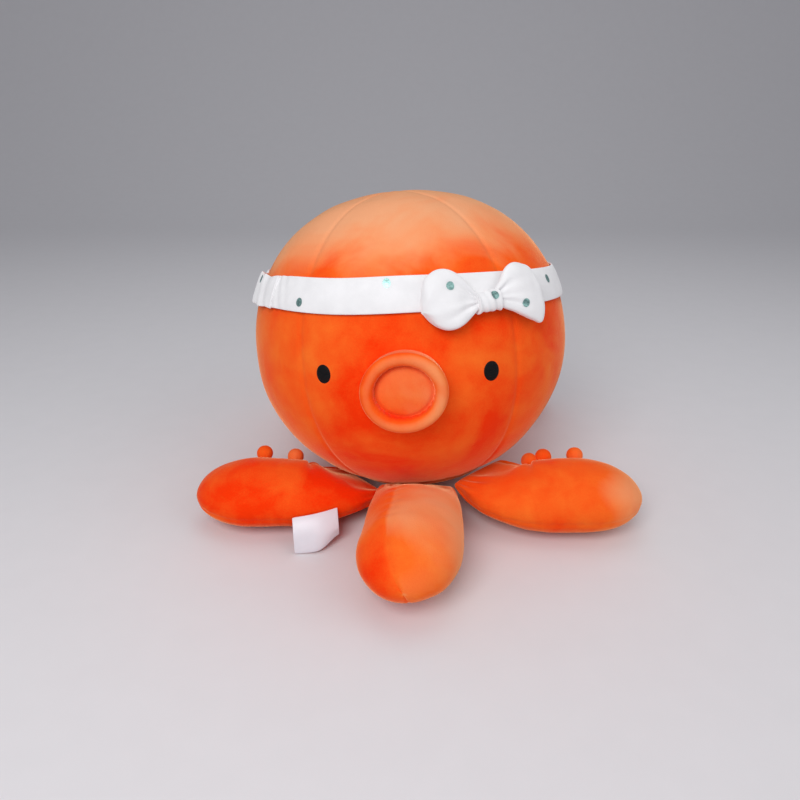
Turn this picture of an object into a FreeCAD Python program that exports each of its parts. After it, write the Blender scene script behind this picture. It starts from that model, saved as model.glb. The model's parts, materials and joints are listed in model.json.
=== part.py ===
import FreeCAD, Part
import math
import os

from FreeCAD import Placement, Rotation, Vector

# A stuffed plush octopus that sits on a floor, with a stretch headband and bow on its head.
# Millimetres. +Z is up, the face looks along -Y, and the origin is the middle of the flat base on the floor.
# Angles round the body ("turns") are in degrees from straight ahead, positive towards +X.

# ---- Head: a ball of gores, leaning back and a little to -X on the patch that it sits flat on ----
HEAD_RADIUS = 139.0
CROWN_DROP = 5.0            # the crown's height above the widest level is less than the radius by this
BELLY_DROP = 9.0            # and so is the depth at which the ball would end below
SIDE_FLATNESS = 51.0        # the outline's arcs at the widest level and over the crown are flatter by this
SHOULDER_TIGHTNESS = 19.0   # the arcs between them and below the widest level are tighter by this
FLOOR_PRESS = 4.4           # how far the floor presses the belly in
CROWN_HEIGHT = HEAD_RADIUS - CROWN_DROP
BELLY_DEPTH = HEAD_RADIUS - BELLY_DROP
SIDE_ARC = HEAD_RADIUS + SIDE_FLATNESS
SHOULDER_ARC = HEAD_RADIUS - SHOULDER_TIGHTNESS
FLANK_ARC = SHOULDER_ARC    # the belly's arc follows from it
HEAD_LEVEL = BELLY_DEPTH - FLOOR_PRESS
LEAN_BACK = 6.7
LEAN_LEFT = 5.8
GORES = ("front_gore", "right_front_gore", "right_rear_gore", "left_rear_gore", "left_front_gore")
PLUSH = 2.0                 # cloth with its pile
LINING_GAP = 0.3            # between a skin and what fills it
SEAT_GAP = 0.1              # between a sewn-on piece and the skin that it sits on
BASE_SEAM_RADIUS = 75.0     # the seam that the gores, the base panel and the legs share

# ---- Face ----
MOUTH_TURN = -1.8
MOUTH_LEVEL = -2.5          # above the head's widest level, along the head's own axis
MOUTH_RING_RADIUS = 27.5    # middle of the stuffed ring
MOUTH_RING_HALF_WIDTH = 5.5
MOUTH_RING_STAND = 17.5     # front of the ring before the head's skin
MOUTH_DISC_STAND = 9.0      # the disc lies this far before it, inside the ring
EYE_WIDTH = 13.2
EYE_HEIGHT = 15.6
EYE_THICKNESS = 1.0
EYES = {"left_eye": (-27.0, 11.1, -7.0), "right_eye": (25.2, 2.7, 5.0)}   # turn, level, roll

# ---- Legs: each is two panels and a filling, sewn flat at its root ----
LEG_HALF_WIDTH = 40.0
LEG_HALF_HEIGHT = 29.0
ROOT_HALF_WIDTH = 27.0
ROOT_HALF_HEIGHT = 2.6
ROOT_GAP = 0.4              # root to base seam
NECK = ((0.12, 0.80, 0.66), (0.30, 0.91, 0.86), (0.52, 0.98, 0.97))   # place, width and top, as shares
BULB_PLACE = 0.72           # the thickest place, as a share of the leg's length
TIP_ANGLES = (0, 38, 66, 86)   # sections of the rounded end
BEND_START = 30.0           # where a bent leg starts to turn, from its root
BEND_LENGTH = 30.0
DROOP_PLACE = 0.5           # where the underside comes down to the floor
NARROW_PANEL = 168.0        # degrees of the leg's girth
GIRTH_STEP = 15.0           # degrees of girth that each flat of a leg spans
LEG_SWING_UP = 3.0          # the hinge's upper limit, which the leg's back is shaped to clear
HEAD_CLEARANCE = 5.0        # leg to head at that limit
# turn of the root, bend, length, girth angle of the plain seam, side of the narrow panel, height of the underside
LEGS = {
    "front_leg": (-3.8, 0.0, 136.0, 114.0, 1, 5.0),
    "right_leg": (41.0, 48.0, 146.0, 190.0, -1, 0.0),
    "rear_right_leg": (140.0, 0.0, 140.0, 160.0, -1, 0.0),
    "rear_left_leg": (-143.7, 0.0, 140.0, 20.0, 1, 0.0),
    "left_leg": (-46.0, -44.0, 150.0, -10.0, 1, 0.0),
}
SUCKER_RADIUS = 7.2
SUCKER_SINK = 1.6           # how deep a sucker ball is drawn into the seam
SUCKER_PLACES = (27.0, 72.0, 100.0)
SUCKER_GAP = 0.5            # least gap between two of them, as inside a bend

# ---- Care tag in the plain seam of the left leg ----
TAG_LEG = "left_leg"
TAG_PLACE = 46.0            # nearer edge, from the root
TAG_WIDTH = 28.0
TAG_LENGTH = 28.0
TAG_THICKNESS = 0.8
TAG_GAP = 0.3

# ---- Headband and bow ----
BAND_LEVEL = 55.6           # where its middle plane crosses the head's axis
BAND_LEAN_RIGHT = 3.9       # from the head's axis
BAND_LEAN_BACK = 3.1
BAND_HEIGHT = 25.0
BAND_GAP = 0.4
BAND_THICKNESS = 2.2
CASING_PLY = 1.1            # cloth of the gathered back part
ELASTIC_THICKNESS = 0.8
ELASTIC_GAP = 0.2
CASING_HEM = 1.5            # closed edge of the casing, above and below the elastic
FLAT_STRIP_HALF_ANGLE = 80.0
BOW_TURN = 28.0             # the bow is at the middle of the flat strip
BOW_LEVEL = 53.0
BOW_SLOPE = 20.0            # the head's skin faces up by this much there
BOW_LEFT_REACH = 52.0
BOW_RIGHT_REACH = 56.0
WING_HALF_HEIGHT = 21.5
WING_HALF_DEPTH = 5.0
WAIST_HALF_HEIGHT = 6.5
WAIST_HALF_DEPTH = 3.4
KNOT_HALF_LENGTH = 9.5
KNOT_CLOTH = 1.5
KNOT_GAP = 0.3

UP = Vector(0, 0, 1)
FAR = 500.0


def direction(turn):
    """Level direction that a turn from straight ahead points in."""
    angle = math.radians(turn)
    return Vector(math.sin(angle), -math.cos(angle), 0)


def save(shape, node):
    shape.exportStep("parts/" + node + ".step")


# ---- The head's ball ----

def slope(line):
    return math.degrees(math.atan2(line.z, line.x))


def outline():
    """Arcs of the ball's half section, from the crown down: centre, radius and the angles between which each runs.

    The shoulder touches the crown's and the side's arc, and the belly touches the flank's."""
    side = Vector(HEAD_RADIUS - SIDE_ARC, 0, 0)
    crown = Vector(0, 0, CROWN_HEIGHT - SIDE_ARC)
    between = crown - side
    lift = math.sqrt((SIDE_ARC - SHOULDER_ARC) ** 2 - (between.Length / 2) ** 2)
    shoulder = (side + crown) / 2 + between.cross(Vector(0, 1, 0)).normalize() * lift
    flank = Vector(HEAD_RADIUS - FLANK_ARC, 0, 0)
    belly_arc = (flank.x ** 2 + BELLY_DEPTH ** 2 - FLANK_ARC ** 2) / (2 * (BELLY_DEPTH - FLANK_ARC))
    belly = Vector(0, 0, belly_arc - BELLY_DEPTH)
    return [
        (crown, SIDE_ARC, 90, slope(shoulder - crown)),
        (shoulder, SHOULDER_ARC, slope(shoulder - crown), slope(shoulder - side)),
        (side, SIDE_ARC, slope(shoulder - side), 0),
        (flank, FLANK_ARC, 0, slope(flank - belly)),
        (belly, belly_arc, slope(flank - belly), -90),
    ]


OUTLINE = outline()
FLANK, FLANK_REACH = OUTLINE[3][:2]
BELLY, BELLY_REACH = OUTLINE[4][:2]
FLANK_END = FLANK.x + FLANK_REACH * math.cos(math.radians(OUTLINE[4][2]))
SEAM_ANGLE = -math.degrees(math.acos(BASE_SEAM_RADIUS / BELLY_REACH))
ABOVE_SEAM = OUTLINE[:4] + [(BELLY, BELLY_REACH, OUTLINE[4][2], SEAM_ANGLE)]
BELOW_SEAM = [(BELLY, BELLY_REACH, SEAM_ANGLE, -90)]


def arc_point(arc, angle, offset):
    angle = math.radians(angle)
    return arc[0] + Vector(math.cos(angle), 0, math.sin(angle)) * (arc[1] + offset)


def outline_edges(offset, arcs):
    """Edges of the half outline, offset outwards, which stay tangent to each other."""
    edges = []
    for arc in arcs:
        start, end = arc[2:]
        points = [arc_point(arc, angle, offset) for angle in (start, (start + end) / 2, end)]
        edges.append(Part.Arc(*points).toShape())
    return edges


def section_face(edges):
    return Part.Face(Part.Wire(Part.__sortEdges__(edges)))


def round_solid(offset, arcs):
    """Solid turned about the head's axis from part of the outline."""
    edges = outline_edges(offset, arcs)
    start = arc_point(arcs[0], arcs[0][2], offset)
    end = arc_point(arcs[-1], arcs[-1][3], offset)
    top = Vector(0, 0, start.z)
    foot = Vector(0, 0, end.z)
    for near, far in ((start, top), (top, foot), (foot, end)):
        if near.distanceToPoint(far) > 0.001:
            edges.append(Part.makeLine(near, far))
    return section_face(edges).revolve(Vector(0, 0, 0), UP, 360)


def ball(offset):
    """Solid ball whose skin is offset from the head's."""
    return round_solid(offset, OUTLINE)


def ball_depth(radius):
    """How far below the widest level the ball has this radius."""
    centre, reach = (BELLY, BELLY_REACH) if radius < FLANK_END else (FLANK, FLANK_REACH)
    return math.sqrt(reach ** 2 - (radius - centre.x) ** 2) - centre.z


def ball_radius(level):
    """Radius of the ball at a level above its widest one."""
    for centre, reach, start, end in OUTLINE:
        rise = level - centre.z
        if abs(rise) <= reach and start >= math.degrees(math.asin(rise / reach)) >= end:
            return centre.x + math.sqrt(reach ** 2 - rise ** 2)
    return 0


def gore_section():
    """Section of a gore's wall, from the crown to the base seam."""
    outer = outline_edges(0, ABOVE_SEAM)
    inner = outline_edges(-PLUSH, ABOVE_SEAM)
    hem = Part.makeLine(*(arc_point(ABOVE_SEAM[-1], SEAM_ANGLE, offset) for offset in (0, -PLUSH)))
    crown = Part.makeLine(Vector(0, 0, CROWN_HEIGHT - PLUSH), Vector(0, 0, CROWN_HEIGHT))
    return section_face(outer + inner + [hem, crown])


def head_place():
    """From the upright ball to the leaning head, with its flat patch centred on the origin."""
    turn = Rotation(Vector(0, 1, 0), -LEAN_LEFT) * Rotation(Vector(1, 0, 0), -LEAN_BACK)
    axis = turn.multVec(UP)
    # The belly is a sphere, so its lowest point lies straight below its own centre.
    shift = BELLY.z
    return Placement(Vector(-axis.x * shift, -axis.y * shift, HEAD_LEVEL), turn)


HEAD = head_place()
AXIS = HEAD.Rotation.multVec(UP)
BASE_SEAM_MIDDLE = HEAD.multVec(Vector(0, 0, -ball_depth(BASE_SEAM_RADIUS)))


def on_head(shape):
    shape.Placement = HEAD.multiply(shape.Placement)
    return shape


def above_floor(shape, height):
    keep = Part.makeBox(FAR, FAR, FAR, Vector(-FAR / 2, -FAR / 2, height))
    return shape.common(keep)


def along(turn, level, reach):
    """Place on the upright ball: its Z points out of the head at this turn, its X up the head."""
    out = direction(turn)
    side = out.cross(UP)
    matrix = FreeCAD.Matrix(0, side.x, out.x, 0, 0, side.y, out.y, 0, 1, side.z, out.z, 0, 0, 0, 0, 1)
    return Placement(out * reach + UP * level, Placement(matrix).Rotation)


# ---- Head pieces ----

def make_gores():
    sector = 360.0 / len(GORES)
    section = gore_section()
    for number, node in enumerate(GORES):
        gore = section.copy()
        gore.rotate(Vector(0, 0, 0), UP, -90 + sector * (number - 0.5))
        gore = gore.revolve(Vector(0, 0, 0), UP, sector)
        save(on_head(gore), node)


def base_bowl(offset):
    """Solid cap of the ball below the base seam."""
    return on_head(round_solid(offset, BELOW_SEAM))


def make_base_panel():
    """Dish below the seam, whose bottom is pressed flat by the floor."""
    outer = above_floor(base_bowl(0), 0)
    inner = above_floor(base_bowl(-PLUSH), PLUSH)
    save(outer.cut(inner), "base_panel")


def make_head_filling():
    filling = on_head(ball(-PLUSH - LINING_GAP))
    save(above_floor(filling, PLUSH + LINING_GAP), "head_filling")


def mouth_place():
    return along(MOUTH_TURN, MOUTH_LEVEL, HEAD_RADIUS)


def mouth_cylinder(radius, front):
    """Round solid inside the ring, from behind the skin to a plane before it."""
    depth = 4 * PLUSH + MOUTH_RING_STAND
    cylinder = Part.makeCylinder(radius, front + depth, Vector(0, 0, -depth))
    cylinder.Placement = mouth_place()
    return cylinder


def stuffed_ring(shrink):
    """Round-fronted ring with straight sides, laid round the mouth and reaching behind the skin."""
    half_width = MOUTH_RING_HALF_WIDTH - shrink
    rise = MOUTH_RING_STAND - MOUTH_RING_HALF_WIDTH
    inner = MOUTH_RING_RADIUS - half_width
    outer = MOUTH_RING_RADIUS + half_width
    foot = -2 * PLUSH - MOUTH_RING_STAND
    left = Vector(inner, 0, rise)
    right = Vector(outer, 0, rise)
    edges = [
        Part.Arc(left, Vector(MOUTH_RING_RADIUS, 0, rise + half_width), right).toShape(),
        Part.makeLine(right, Vector(outer, 0, foot)),
        Part.makeLine(Vector(outer, 0, foot), Vector(inner, 0, foot)),
        Part.makeLine(Vector(inner, 0, foot), left),
    ]
    ring = section_face(edges).revolve(Vector(0, 0, 0), UP, 360)
    ring.Placement = mouth_place()
    return ring


def make_mouth():
    seat = ball(SEAT_GAP)
    back = MOUTH_DISC_STAND - PLUSH
    inner = MOUTH_RING_RADIUS - MOUTH_RING_HALF_WIDTH
    skin = stuffed_ring(0).cut(stuffed_ring(PLUSH))
    skin = skin.cut(mouth_cylinder(MOUTH_RING_RADIUS, back)).cut(seat)
    save(on_head(skin), "mouth_ring")
    filling = stuffed_ring(PLUSH + LINING_GAP).fuse(mouth_cylinder(MOUTH_RING_RADIUS, back - LINING_GAP))
    save(on_head(filling.removeSplitter().cut(seat)), "mouth_ring_filling")
    disc = mouth_cylinder(inner - SEAT_GAP, MOUTH_DISC_STAND).cut(mouth_cylinder(inner, back))
    save(on_head(disc), "mouth_disc")


def make_eyes():
    shell = ball(SEAT_GAP + EYE_THICKNESS).cut(ball(SEAT_GAP))
    for node, (turn, level, roll) in EYES.items():
        ellipse = Part.Ellipse(Vector(0, 0, 0), EYE_HEIGHT / 2, EYE_WIDTH / 2)
        oval = Part.Face(Part.Wire(ellipse.toShape()))
        oval.rotate(Vector(0, 0, 0), UP, roll)
        oval = oval.extrude(Vector(0, 0, 40))
        oval.Placement = along(turn, level, HEAD_RADIUS - 20).multiply(oval.Placement)
        save(on_head(oval.common(shell)), node)


# ---- Legs ----

def head_underside(point):
    """Height above the floor of the head's skin over a point."""
    out = Vector(point.x - BASE_SEAM_MIDDLE.x, point.y - BASE_SEAM_MIDDLE.y, 0)
    if out.Length >= HEAD_RADIUS:
        return FAR
    tilt = -(AXIS.x * out.x + AXIS.y * out.y) / AXIS.z
    return BASE_SEAM_MIDDLE.z + tilt + ball_depth(BASE_SEAM_RADIUS) - ball_depth(out.Length)


def root_point(turn):
    """Middle of a leg's root, tucked under the gores at the leaning base seam."""
    point = BASE_SEAM_MIDDLE + direction(turn) * (BASE_SEAM_RADIUS + ROOT_GAP)
    side = direction(turn + 90)
    skin = min(head_underside(point + side * across) for across in (-ROOT_HALF_WIDTH, 0, ROOT_HALF_WIDTH))
    point.z = skin - ROOT_HALF_HEIGHT - ROOT_GAP
    return point


def leg_spot(turn, bend, distance):
    """Floor-level place on a leg's path: its X runs on along the leg, its Y to the leg's left."""
    root = root_point(turn)
    point = Vector(root.x, root.y, 0) + direction(turn) * min(distance, BEND_START)
    past = min(max(distance - BEND_START, 0), BEND_LENGTH)
    if bend and past:
        reach = BEND_LENGTH / math.radians(bend)
        turned = bend * past / BEND_LENGTH
        half = math.radians(turned / 2)
        point += direction(turn + turned / 2) * (2 * reach * math.sin(half))
        turn += turned
    else:
        point += direction(turn) * past
    point += direction(turn) * max(distance - BEND_START - BEND_LENGTH, 0)
    return Placement(point, Rotation(UP, turn - 90))


def leg_stations(turn, bend, length, lift):
    """Sections of a leg: distance from the root, half width, half height and middle height."""
    root = root_point(turn)
    # The head's skin slopes by about 45 degrees there, so a rise needs twice its room.
    swing = 2 * math.tan(math.radians(LEG_SWING_UP))
    stations = [(0.0, ROOT_HALF_WIDTH, ROOT_HALF_HEIGHT, root.z)]
    for place, wide, tall in NECK:
        distance = place * length
        roof = head_underside(leg_spot(turn, bend, distance).Base) - HEAD_CLEARANCE - distance * swing
        top = min(lift + 2 * LEG_HALF_HEIGHT * tall, roof)
        droop = max(1 - place / DROOP_PLACE, 0) ** 2
        bottom = lift + (root.z - ROOT_HALF_HEIGHT - lift) * droop
        stations.append((distance, LEG_HALF_WIDTH * wide, (top - bottom) / 2, (top + bottom) / 2))
    for angle in TIP_ANGLES:
        place = BULB_PLACE + (1 - BULB_PLACE) * math.sin(math.radians(angle))
        share = math.cos(math.radians(angle))
        stations.append((place * length, LEG_HALF_WIDTH * share, LEG_HALF_HEIGHT * share, lift + LEG_HALF_HEIGHT))
    return stations


def girth(spot, station, shrink, start, end):
    """Corners of a leg's oval girth between two angles; angle 0 is the leg's left side and 90 its back."""
    half_width, half_height, middle = station[1:]
    inset = shrink * min(1, half_height / (2 * PLUSH))
    steps = math.ceil((end - start) / GIRTH_STEP)
    corners = []
    for step in range(steps + 1):
        angle = math.radians(start + (end - start) * step / steps)
        across = (half_width - inset) * math.cos(angle)
        corners.append(spot.multVec(Vector(0, across, middle + (half_height - inset) * math.sin(angle))))
    return corners


def panel(spots, stations, start, end):
    """Curved wall of a leg between two girth angles, lofted from root to tip."""
    sections = []
    for spot, station in zip(spots, stations):
        outer = girth(spot, station, 0, start, end)
        inner = girth(spot, station, PLUSH, start, end)
        sections.append(Part.makePolygon(outer + inner[::-1] + outer[:1]))
    return Part.makeLoft(sections, True, True)


def station_at(stations, distance):
    """Section between the two stations that a distance lies between."""
    for near, far in zip(stations, stations[1:]):
        if far[0] >= distance:
            share = (distance - near[0]) / (far[0] - near[0])
            return [a + (b - a) * share for a, b in zip(near, far)]
    return stations[-1]


def seam_point(spot, stations, distance, angle):
    """Point of a leg's skin, and the direction that the skin faces there."""
    half_width, half_height, middle = station_at(stations, distance)[1:]
    c = math.cos(math.radians(angle))
    s = math.sin(math.radians(angle))
    point = spot.multVec(Vector(0, half_width * c, middle + half_height * s))
    facing = spot.Rotation.multVec(Vector(0, half_height * c, half_width * s).normalize())
    return point, facing


def sucker_centre(turn, bend, stations, place, seam):
    """Middle of a sucker ball on its seam, kept clear of the head above it and of the floor."""
    point, facing = seam_point(leg_spot(turn, bend, place), stations, place, seam)
    centre = point + facing * (SUCKER_RADIUS - SUCKER_SINK)
    roof = head_underside(centre) - 1.5 * SUCKER_RADIUS - HEAD_CLEARANCE - 0.1 * place
    centre.z = max(min(centre.z, roof), SUCKER_RADIUS)
    return centre


def make_leg(node, turn, bend, length, plain_seam, side, lift):
    stations = leg_stations(turn, bend, length, lift)
    spots = [leg_spot(turn, bend, station[0]) for station in stations]
    sucker_seam = plain_seam + side * NARROW_PANEL
    low, high = sorted((plain_seam, sucker_seam))
    narrow = panel(spots, stations, low, high)
    wide = panel(spots, stations, high, low + 360)
    rings = []
    for spot, station in list(zip(spots, stations))[1:-1]:
        rings.append(Part.makePolygon(girth(spot, station, PLUSH + LINING_GAP, low, low + 360)))
    filling = Part.makeLoft(rings, True, True)
    balls = []
    last = root_point(turn)
    for place in SUCKER_PLACES:
        centre = sucker_centre(turn, bend, stations, place, sucker_seam)
        while centre.distanceToPoint(last) < 2 * SUCKER_RADIUS + SUCKER_GAP:
            place += SUCKER_GAP
            centre = sucker_centre(turn, bend, stations, place, sucker_seam)
        last = centre
        balls.append(Part.makeSphere(SUCKER_RADIUS, centre))
        pocket = Part.makeSphere(SUCKER_RADIUS + SEAT_GAP, centre)
        narrow = narrow.cut(pocket)
        wide = wide.cut(pocket)
        filling = filling.cut(Part.makeSphere(SUCKER_RADIUS + LINING_GAP, centre))
    save(narrow, node + "_narrow_panel")
    save(wide, node + "_wide_panel")
    save(filling, node + "_filling")
    save(Part.makeCompound(balls), node + "_suckers")


# ---- Care tag ----

def make_care_tag():
    turn, bend, length, plain_seam, side, lift = LEGS[TAG_LEG]
    stations = leg_stations(turn, bend, length, lift)
    spot = leg_spot(turn, bend, TAG_PLACE + TAG_WIDTH / 2)
    half_width, half_height, middle = station_at(stations, TAG_PLACE + TAG_WIDTH / 2)[1:]
    point = spot.inverse().multVec(seam_point(spot, stations, TAG_PLACE + TAG_WIDTH / 2, plain_seam)[0])
    start = Vector(-TAG_WIDTH / 2, half_width + TAG_GAP, point.z)
    foot = Vector(-TAG_WIDTH / 2, start.y + 0.72 * TAG_LENGTH, TAG_THICKNESS)
    bend_point = (start + foot) / 2 + Vector(0, 0.16 * TAG_LENGTH, 0.12 * TAG_LENGTH)
    line = Part.Arc(start, bend_point, foot).toShape()
    sweep = line.makeOffset2D(TAG_THICKNESS / 2, openResult=True, fill=True)
    tag = sweep.extrude(Vector(TAG_WIDTH, 0, 0))
    tag.Placement = spot.multiply(tag.Placement)
    save(tag, "care_tag")


# ---- Headband and bow ----

def band_place():
    lean = Rotation(Vector(0, 1, 0), BAND_LEAN_RIGHT) * Rotation(Vector(1, 0, 0), -BAND_LEAN_BACK)
    return Placement(Vector(0, 0, BAND_LEVEL), lean)


def band_ring(inner, outer, height):
    """Ring that follows the head between two offsets, as tall as the band or its inside."""
    slab = Part.makeCylinder(FAR / 2, height, Vector(0, 0, -height / 2))
    slab.Placement = band_place()
    return ball(outer).cut(ball(inner)).common(slab)


def sector_of_head(start, end):
    """Wedge of the space round the head's axis between two turns."""
    wedge = Part.makeCylinder(FAR / 2, FAR, Vector(0, 0, -FAR / 2), UP, end - start)
    wedge.rotate(Vector(0, 0, 0), UP, start - 90)
    return wedge


def make_headband():
    low = BOW_TURN - FLAT_STRIP_HALF_ANGLE
    high = BOW_TURN + FLAT_STRIP_HALF_ANGLE
    strip = band_ring(BAND_GAP, BAND_GAP + BAND_THICKNESS, BAND_HEIGHT).common(sector_of_head(low, high))
    save(on_head(strip), "headband_strip")
    back = sector_of_head(high, low + 360)
    ply_end = BAND_GAP + CASING_PLY
    elastic_end = ply_end + 2 * ELASTIC_GAP + ELASTIC_THICKNESS
    inside = BAND_HEIGHT - 2 * CASING_HEM
    casing = band_ring(BAND_GAP, elastic_end + CASING_PLY, BAND_HEIGHT).cut(band_ring(ply_end, elastic_end, inside))
    save(on_head(casing.common(back)), "headband_gathered_back")
    elastic = band_ring(ply_end + ELASTIC_GAP, elastic_end - ELASTIC_GAP, inside - 2 * ELASTIC_GAP)
    save(on_head(elastic.common(back)), "headband_elastic")


def bow_place():
    """Place of the bow's middle: Z out of the skin, Y along the band, X up the skin."""
    flat = along(BOW_TURN, BOW_LEVEL, ball_radius(BOW_LEVEL))
    return flat.multiply(Placement(Vector(0, 0, 0), Rotation(Vector(0, 1, 0), BOW_SLOPE)))


def bow_middle():
    return BAND_GAP + BAND_THICKNESS + KNOT_GAP + WAIST_HALF_DEPTH + KNOT_GAP + KNOT_CLOTH


def bow_ring(side, half_height, half_depth, back):
    """Oval section of the bow, this far along the band from its middle."""
    ellipse = Part.Ellipse(Vector(0, 0, 0), half_height, half_depth).toShape()
    turn = Rotation(Vector(1, 0, 0), 90)
    ellipse.Placement = Placement(Vector(0, side, bow_middle() - back), turn)
    return Part.Wire(ellipse)


def make_bow():
    place = bow_place()
    shares = ((1.0, 0.72, 0.35), (0.92, 0.98, 0.8), (0.62, 0.92, 1.0), (0.36, 0.6, 0.95))
    rings = []
    for reach, sign in ((BOW_LEFT_REACH, -1), (BOW_RIGHT_REACH, 1)):
        wing = []
        for share, tall, deep in shares:
            side = reach * share
            back = side ** 2 / (2 * HEAD_RADIUS)
            wing.append(bow_ring(sign * side, WING_HALF_HEIGHT * tall, WING_HALF_DEPTH * deep, back))
        wing.append(bow_ring(sign * KNOT_HALF_LENGTH, WAIST_HALF_HEIGHT, WAIST_HALF_DEPTH, 0))
        rings.append(wing)
    bow = Part.makeLoft(rings[0] + rings[1][::-1], True)
    bow.Placement = place
    save(on_head(bow), "bow")

    def sleeve(extra):
        ring = Part.Ellipse(Vector(0, 0, 0), WAIST_HALF_HEIGHT + extra, WAIST_HALF_DEPTH + extra).toShape()
        face = Part.Face(Part.Wire(ring))
        face.Placement = Placement(Vector(0, KNOT_HALF_LENGTH, bow_middle()), Rotation(Vector(1, 0, 0), 90))
        return face.extrude(Vector(0, -2 * KNOT_HALF_LENGTH, 0))

    knot = sleeve(KNOT_GAP + KNOT_CLOTH).cut(sleeve(KNOT_GAP))
    knot.Placement = place
    save(on_head(knot), "bow_knot")


def main():
    os.makedirs("parts", exist_ok=True)
    make_gores()
    make_base_panel()
    make_head_filling()
    make_mouth()
    make_eyes()
    for node, values in LEGS.items():
        make_leg(node, *values)
    make_care_tag()
    make_headband()
    make_bow()


main()
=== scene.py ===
"""Plush octopus with a headband and bow: sewn pile skins, stuffed legs with sucker balls, and velour cloth."""
import json
import math
from collections import namedtuple

import bpy
import numpy as np
from bpy.props import FloatProperty, FloatVectorProperty, PointerProperty
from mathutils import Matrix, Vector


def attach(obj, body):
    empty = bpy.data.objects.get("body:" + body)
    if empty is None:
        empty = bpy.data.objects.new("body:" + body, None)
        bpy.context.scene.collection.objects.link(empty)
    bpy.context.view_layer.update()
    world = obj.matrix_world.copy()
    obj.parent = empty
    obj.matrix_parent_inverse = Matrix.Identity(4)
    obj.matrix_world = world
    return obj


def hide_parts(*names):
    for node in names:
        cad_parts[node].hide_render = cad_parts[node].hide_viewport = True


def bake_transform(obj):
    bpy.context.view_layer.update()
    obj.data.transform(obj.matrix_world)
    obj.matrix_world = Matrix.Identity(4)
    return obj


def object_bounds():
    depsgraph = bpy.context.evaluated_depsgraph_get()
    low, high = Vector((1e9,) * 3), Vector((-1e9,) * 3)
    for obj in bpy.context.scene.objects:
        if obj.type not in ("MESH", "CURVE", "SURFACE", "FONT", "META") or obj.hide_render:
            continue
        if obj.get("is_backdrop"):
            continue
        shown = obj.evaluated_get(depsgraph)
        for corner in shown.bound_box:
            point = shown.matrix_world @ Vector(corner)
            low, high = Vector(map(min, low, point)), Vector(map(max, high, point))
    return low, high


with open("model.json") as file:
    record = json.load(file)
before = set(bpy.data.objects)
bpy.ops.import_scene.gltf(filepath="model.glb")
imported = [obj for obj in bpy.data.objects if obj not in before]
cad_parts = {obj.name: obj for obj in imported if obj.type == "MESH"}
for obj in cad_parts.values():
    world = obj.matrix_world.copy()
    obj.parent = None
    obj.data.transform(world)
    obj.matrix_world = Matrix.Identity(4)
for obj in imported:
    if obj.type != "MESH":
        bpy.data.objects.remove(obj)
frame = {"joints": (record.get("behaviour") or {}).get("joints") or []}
FRAME_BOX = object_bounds()

bl_info = {
    "name": "Plush octopus",
    "version": (1, 0, 0),
    "blender": (4, 5, 0),
    "location": "View3D > Sidebar > Octopus",
    "description": "Builds a stuffed octopus with a headband over its frame",
    "category": "Add Mesh",
}

MM = 0.001
JOINTS = {joint["name"]: joint for joint in frame["joints"]}
GORE_SEAMS = (36.0, 108.0, 180.0, -108.0, -36.0)    # turns from straight ahead, towards +X
FLOOR_GAP = 0.4    # least height of the skins above the floor, and so on below in millimetres and degrees

# Legs
ROOT_HALF = (31.0, 2.6)    # half width and half height of the flat sewn root
NECK = ((0.12, 0.87, 0.66), (0.30, 0.94, 0.86), (0.52, 0.98, 0.97))    # shares of length, width, height
BULB_PLACE = 0.66    # share of the length where a leg is thickest
BEND_START, BEND_LENGTH = 30.0, 30.0
NARROW_PANEL = 168.0    # angle round the leg that the narrow panel takes
NARROW_POINTS, WIDE_POINTS = 30, 40    # points round the leg on each panel
HEAD_CLEARANCE = 2.5
RISING_ROOM = 0.085    # further room below the head for each millimetre along the leg
SUCKER_PLACES = (27.0, 72.0, 100.0)
SUCKER_SINK = 1.6
TAG_MIDDLE = 53.0
TAG_SIZE = 28.0    # width of the ribbon, and length of the loop
LegPlan = namedtuple("LegPlan", "bend length plain side lift half_height tone")
# plain is the plain seam's angle, side the narrow panel's side, lift the underside's height, tone the pile's.
LEGS = {
    "front_leg": LegPlan(0.0, 143.0, 114.0, 1, 5.0, 29.0, 0.80),
    "right_leg": LegPlan(48.0, 146.0, 190.0, -1, 0.0, 28.0, 0.40),
    "rear_right_leg": LegPlan(0.0, 140.0, 160.0, -1, 0.0, 28.5, 0.45),
    "rear_left_leg": LegPlan(0.0, 140.0, 20.0, 1, 0.0, 28.5, 0.45),
    "left_leg": LegPlan(-44.0, 150.0, -10.0, 1, 0.0, 25.8, 0.04),
}

# Face, headband and bow
EYES = {"left_eye": (-27.0, 10.1, -7.0), "right_eye": (25.3, 1.5, 5.0)}    # turn, level, roll
BAND_RADIUS = 134.0    # reach of the head at the headband
STRIP_END = 80.0    # turn from the bow to the seam between the strip and the casing
STRIP_TUCK, CASING_TUCK = 1.5, 0.5    # how far each reaches past that seam
CASING_RADIUS, CASING_FULLNESS = 140.0, 1.2    # reach of the casing, and its cloth for each length of it
# turn, share of the half height
BAND_DOTS = ((-36.0, -0.45), (-4.5, 0.62), (-66.0, 0.62), (59.0, 0.3), (88.0, -0.4), (118.0, 0.4),
             (148.0, -0.4), (178.0, 0.4), (-152.0, -0.4), (-124.0, 0.4), (-96.0, -0.4))
BOW_SLIDE = 2.9    # how far the soft bow has slid along the strip
BOW_SLOPE = 20.0
BOW_STAND = 8.6
BOW_DOTS = ((-27.0, 13.0), (4.0, 1.0), (30.0, -8.0))    # along the bow and up it, from its middle
WAIST = 8.0    # where a wing comes out of the knot
WING_FLAT = (42.0, 52.0)
WING_POWER = 0.9
KNOT_HALF, KNOT_HIGH, KNOT_DEEP, KNOT_DROP = 9.5, 7.4, 5.2, 1.5
Wing = namedtuple("Wing", "side reach shares above below phase")
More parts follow.
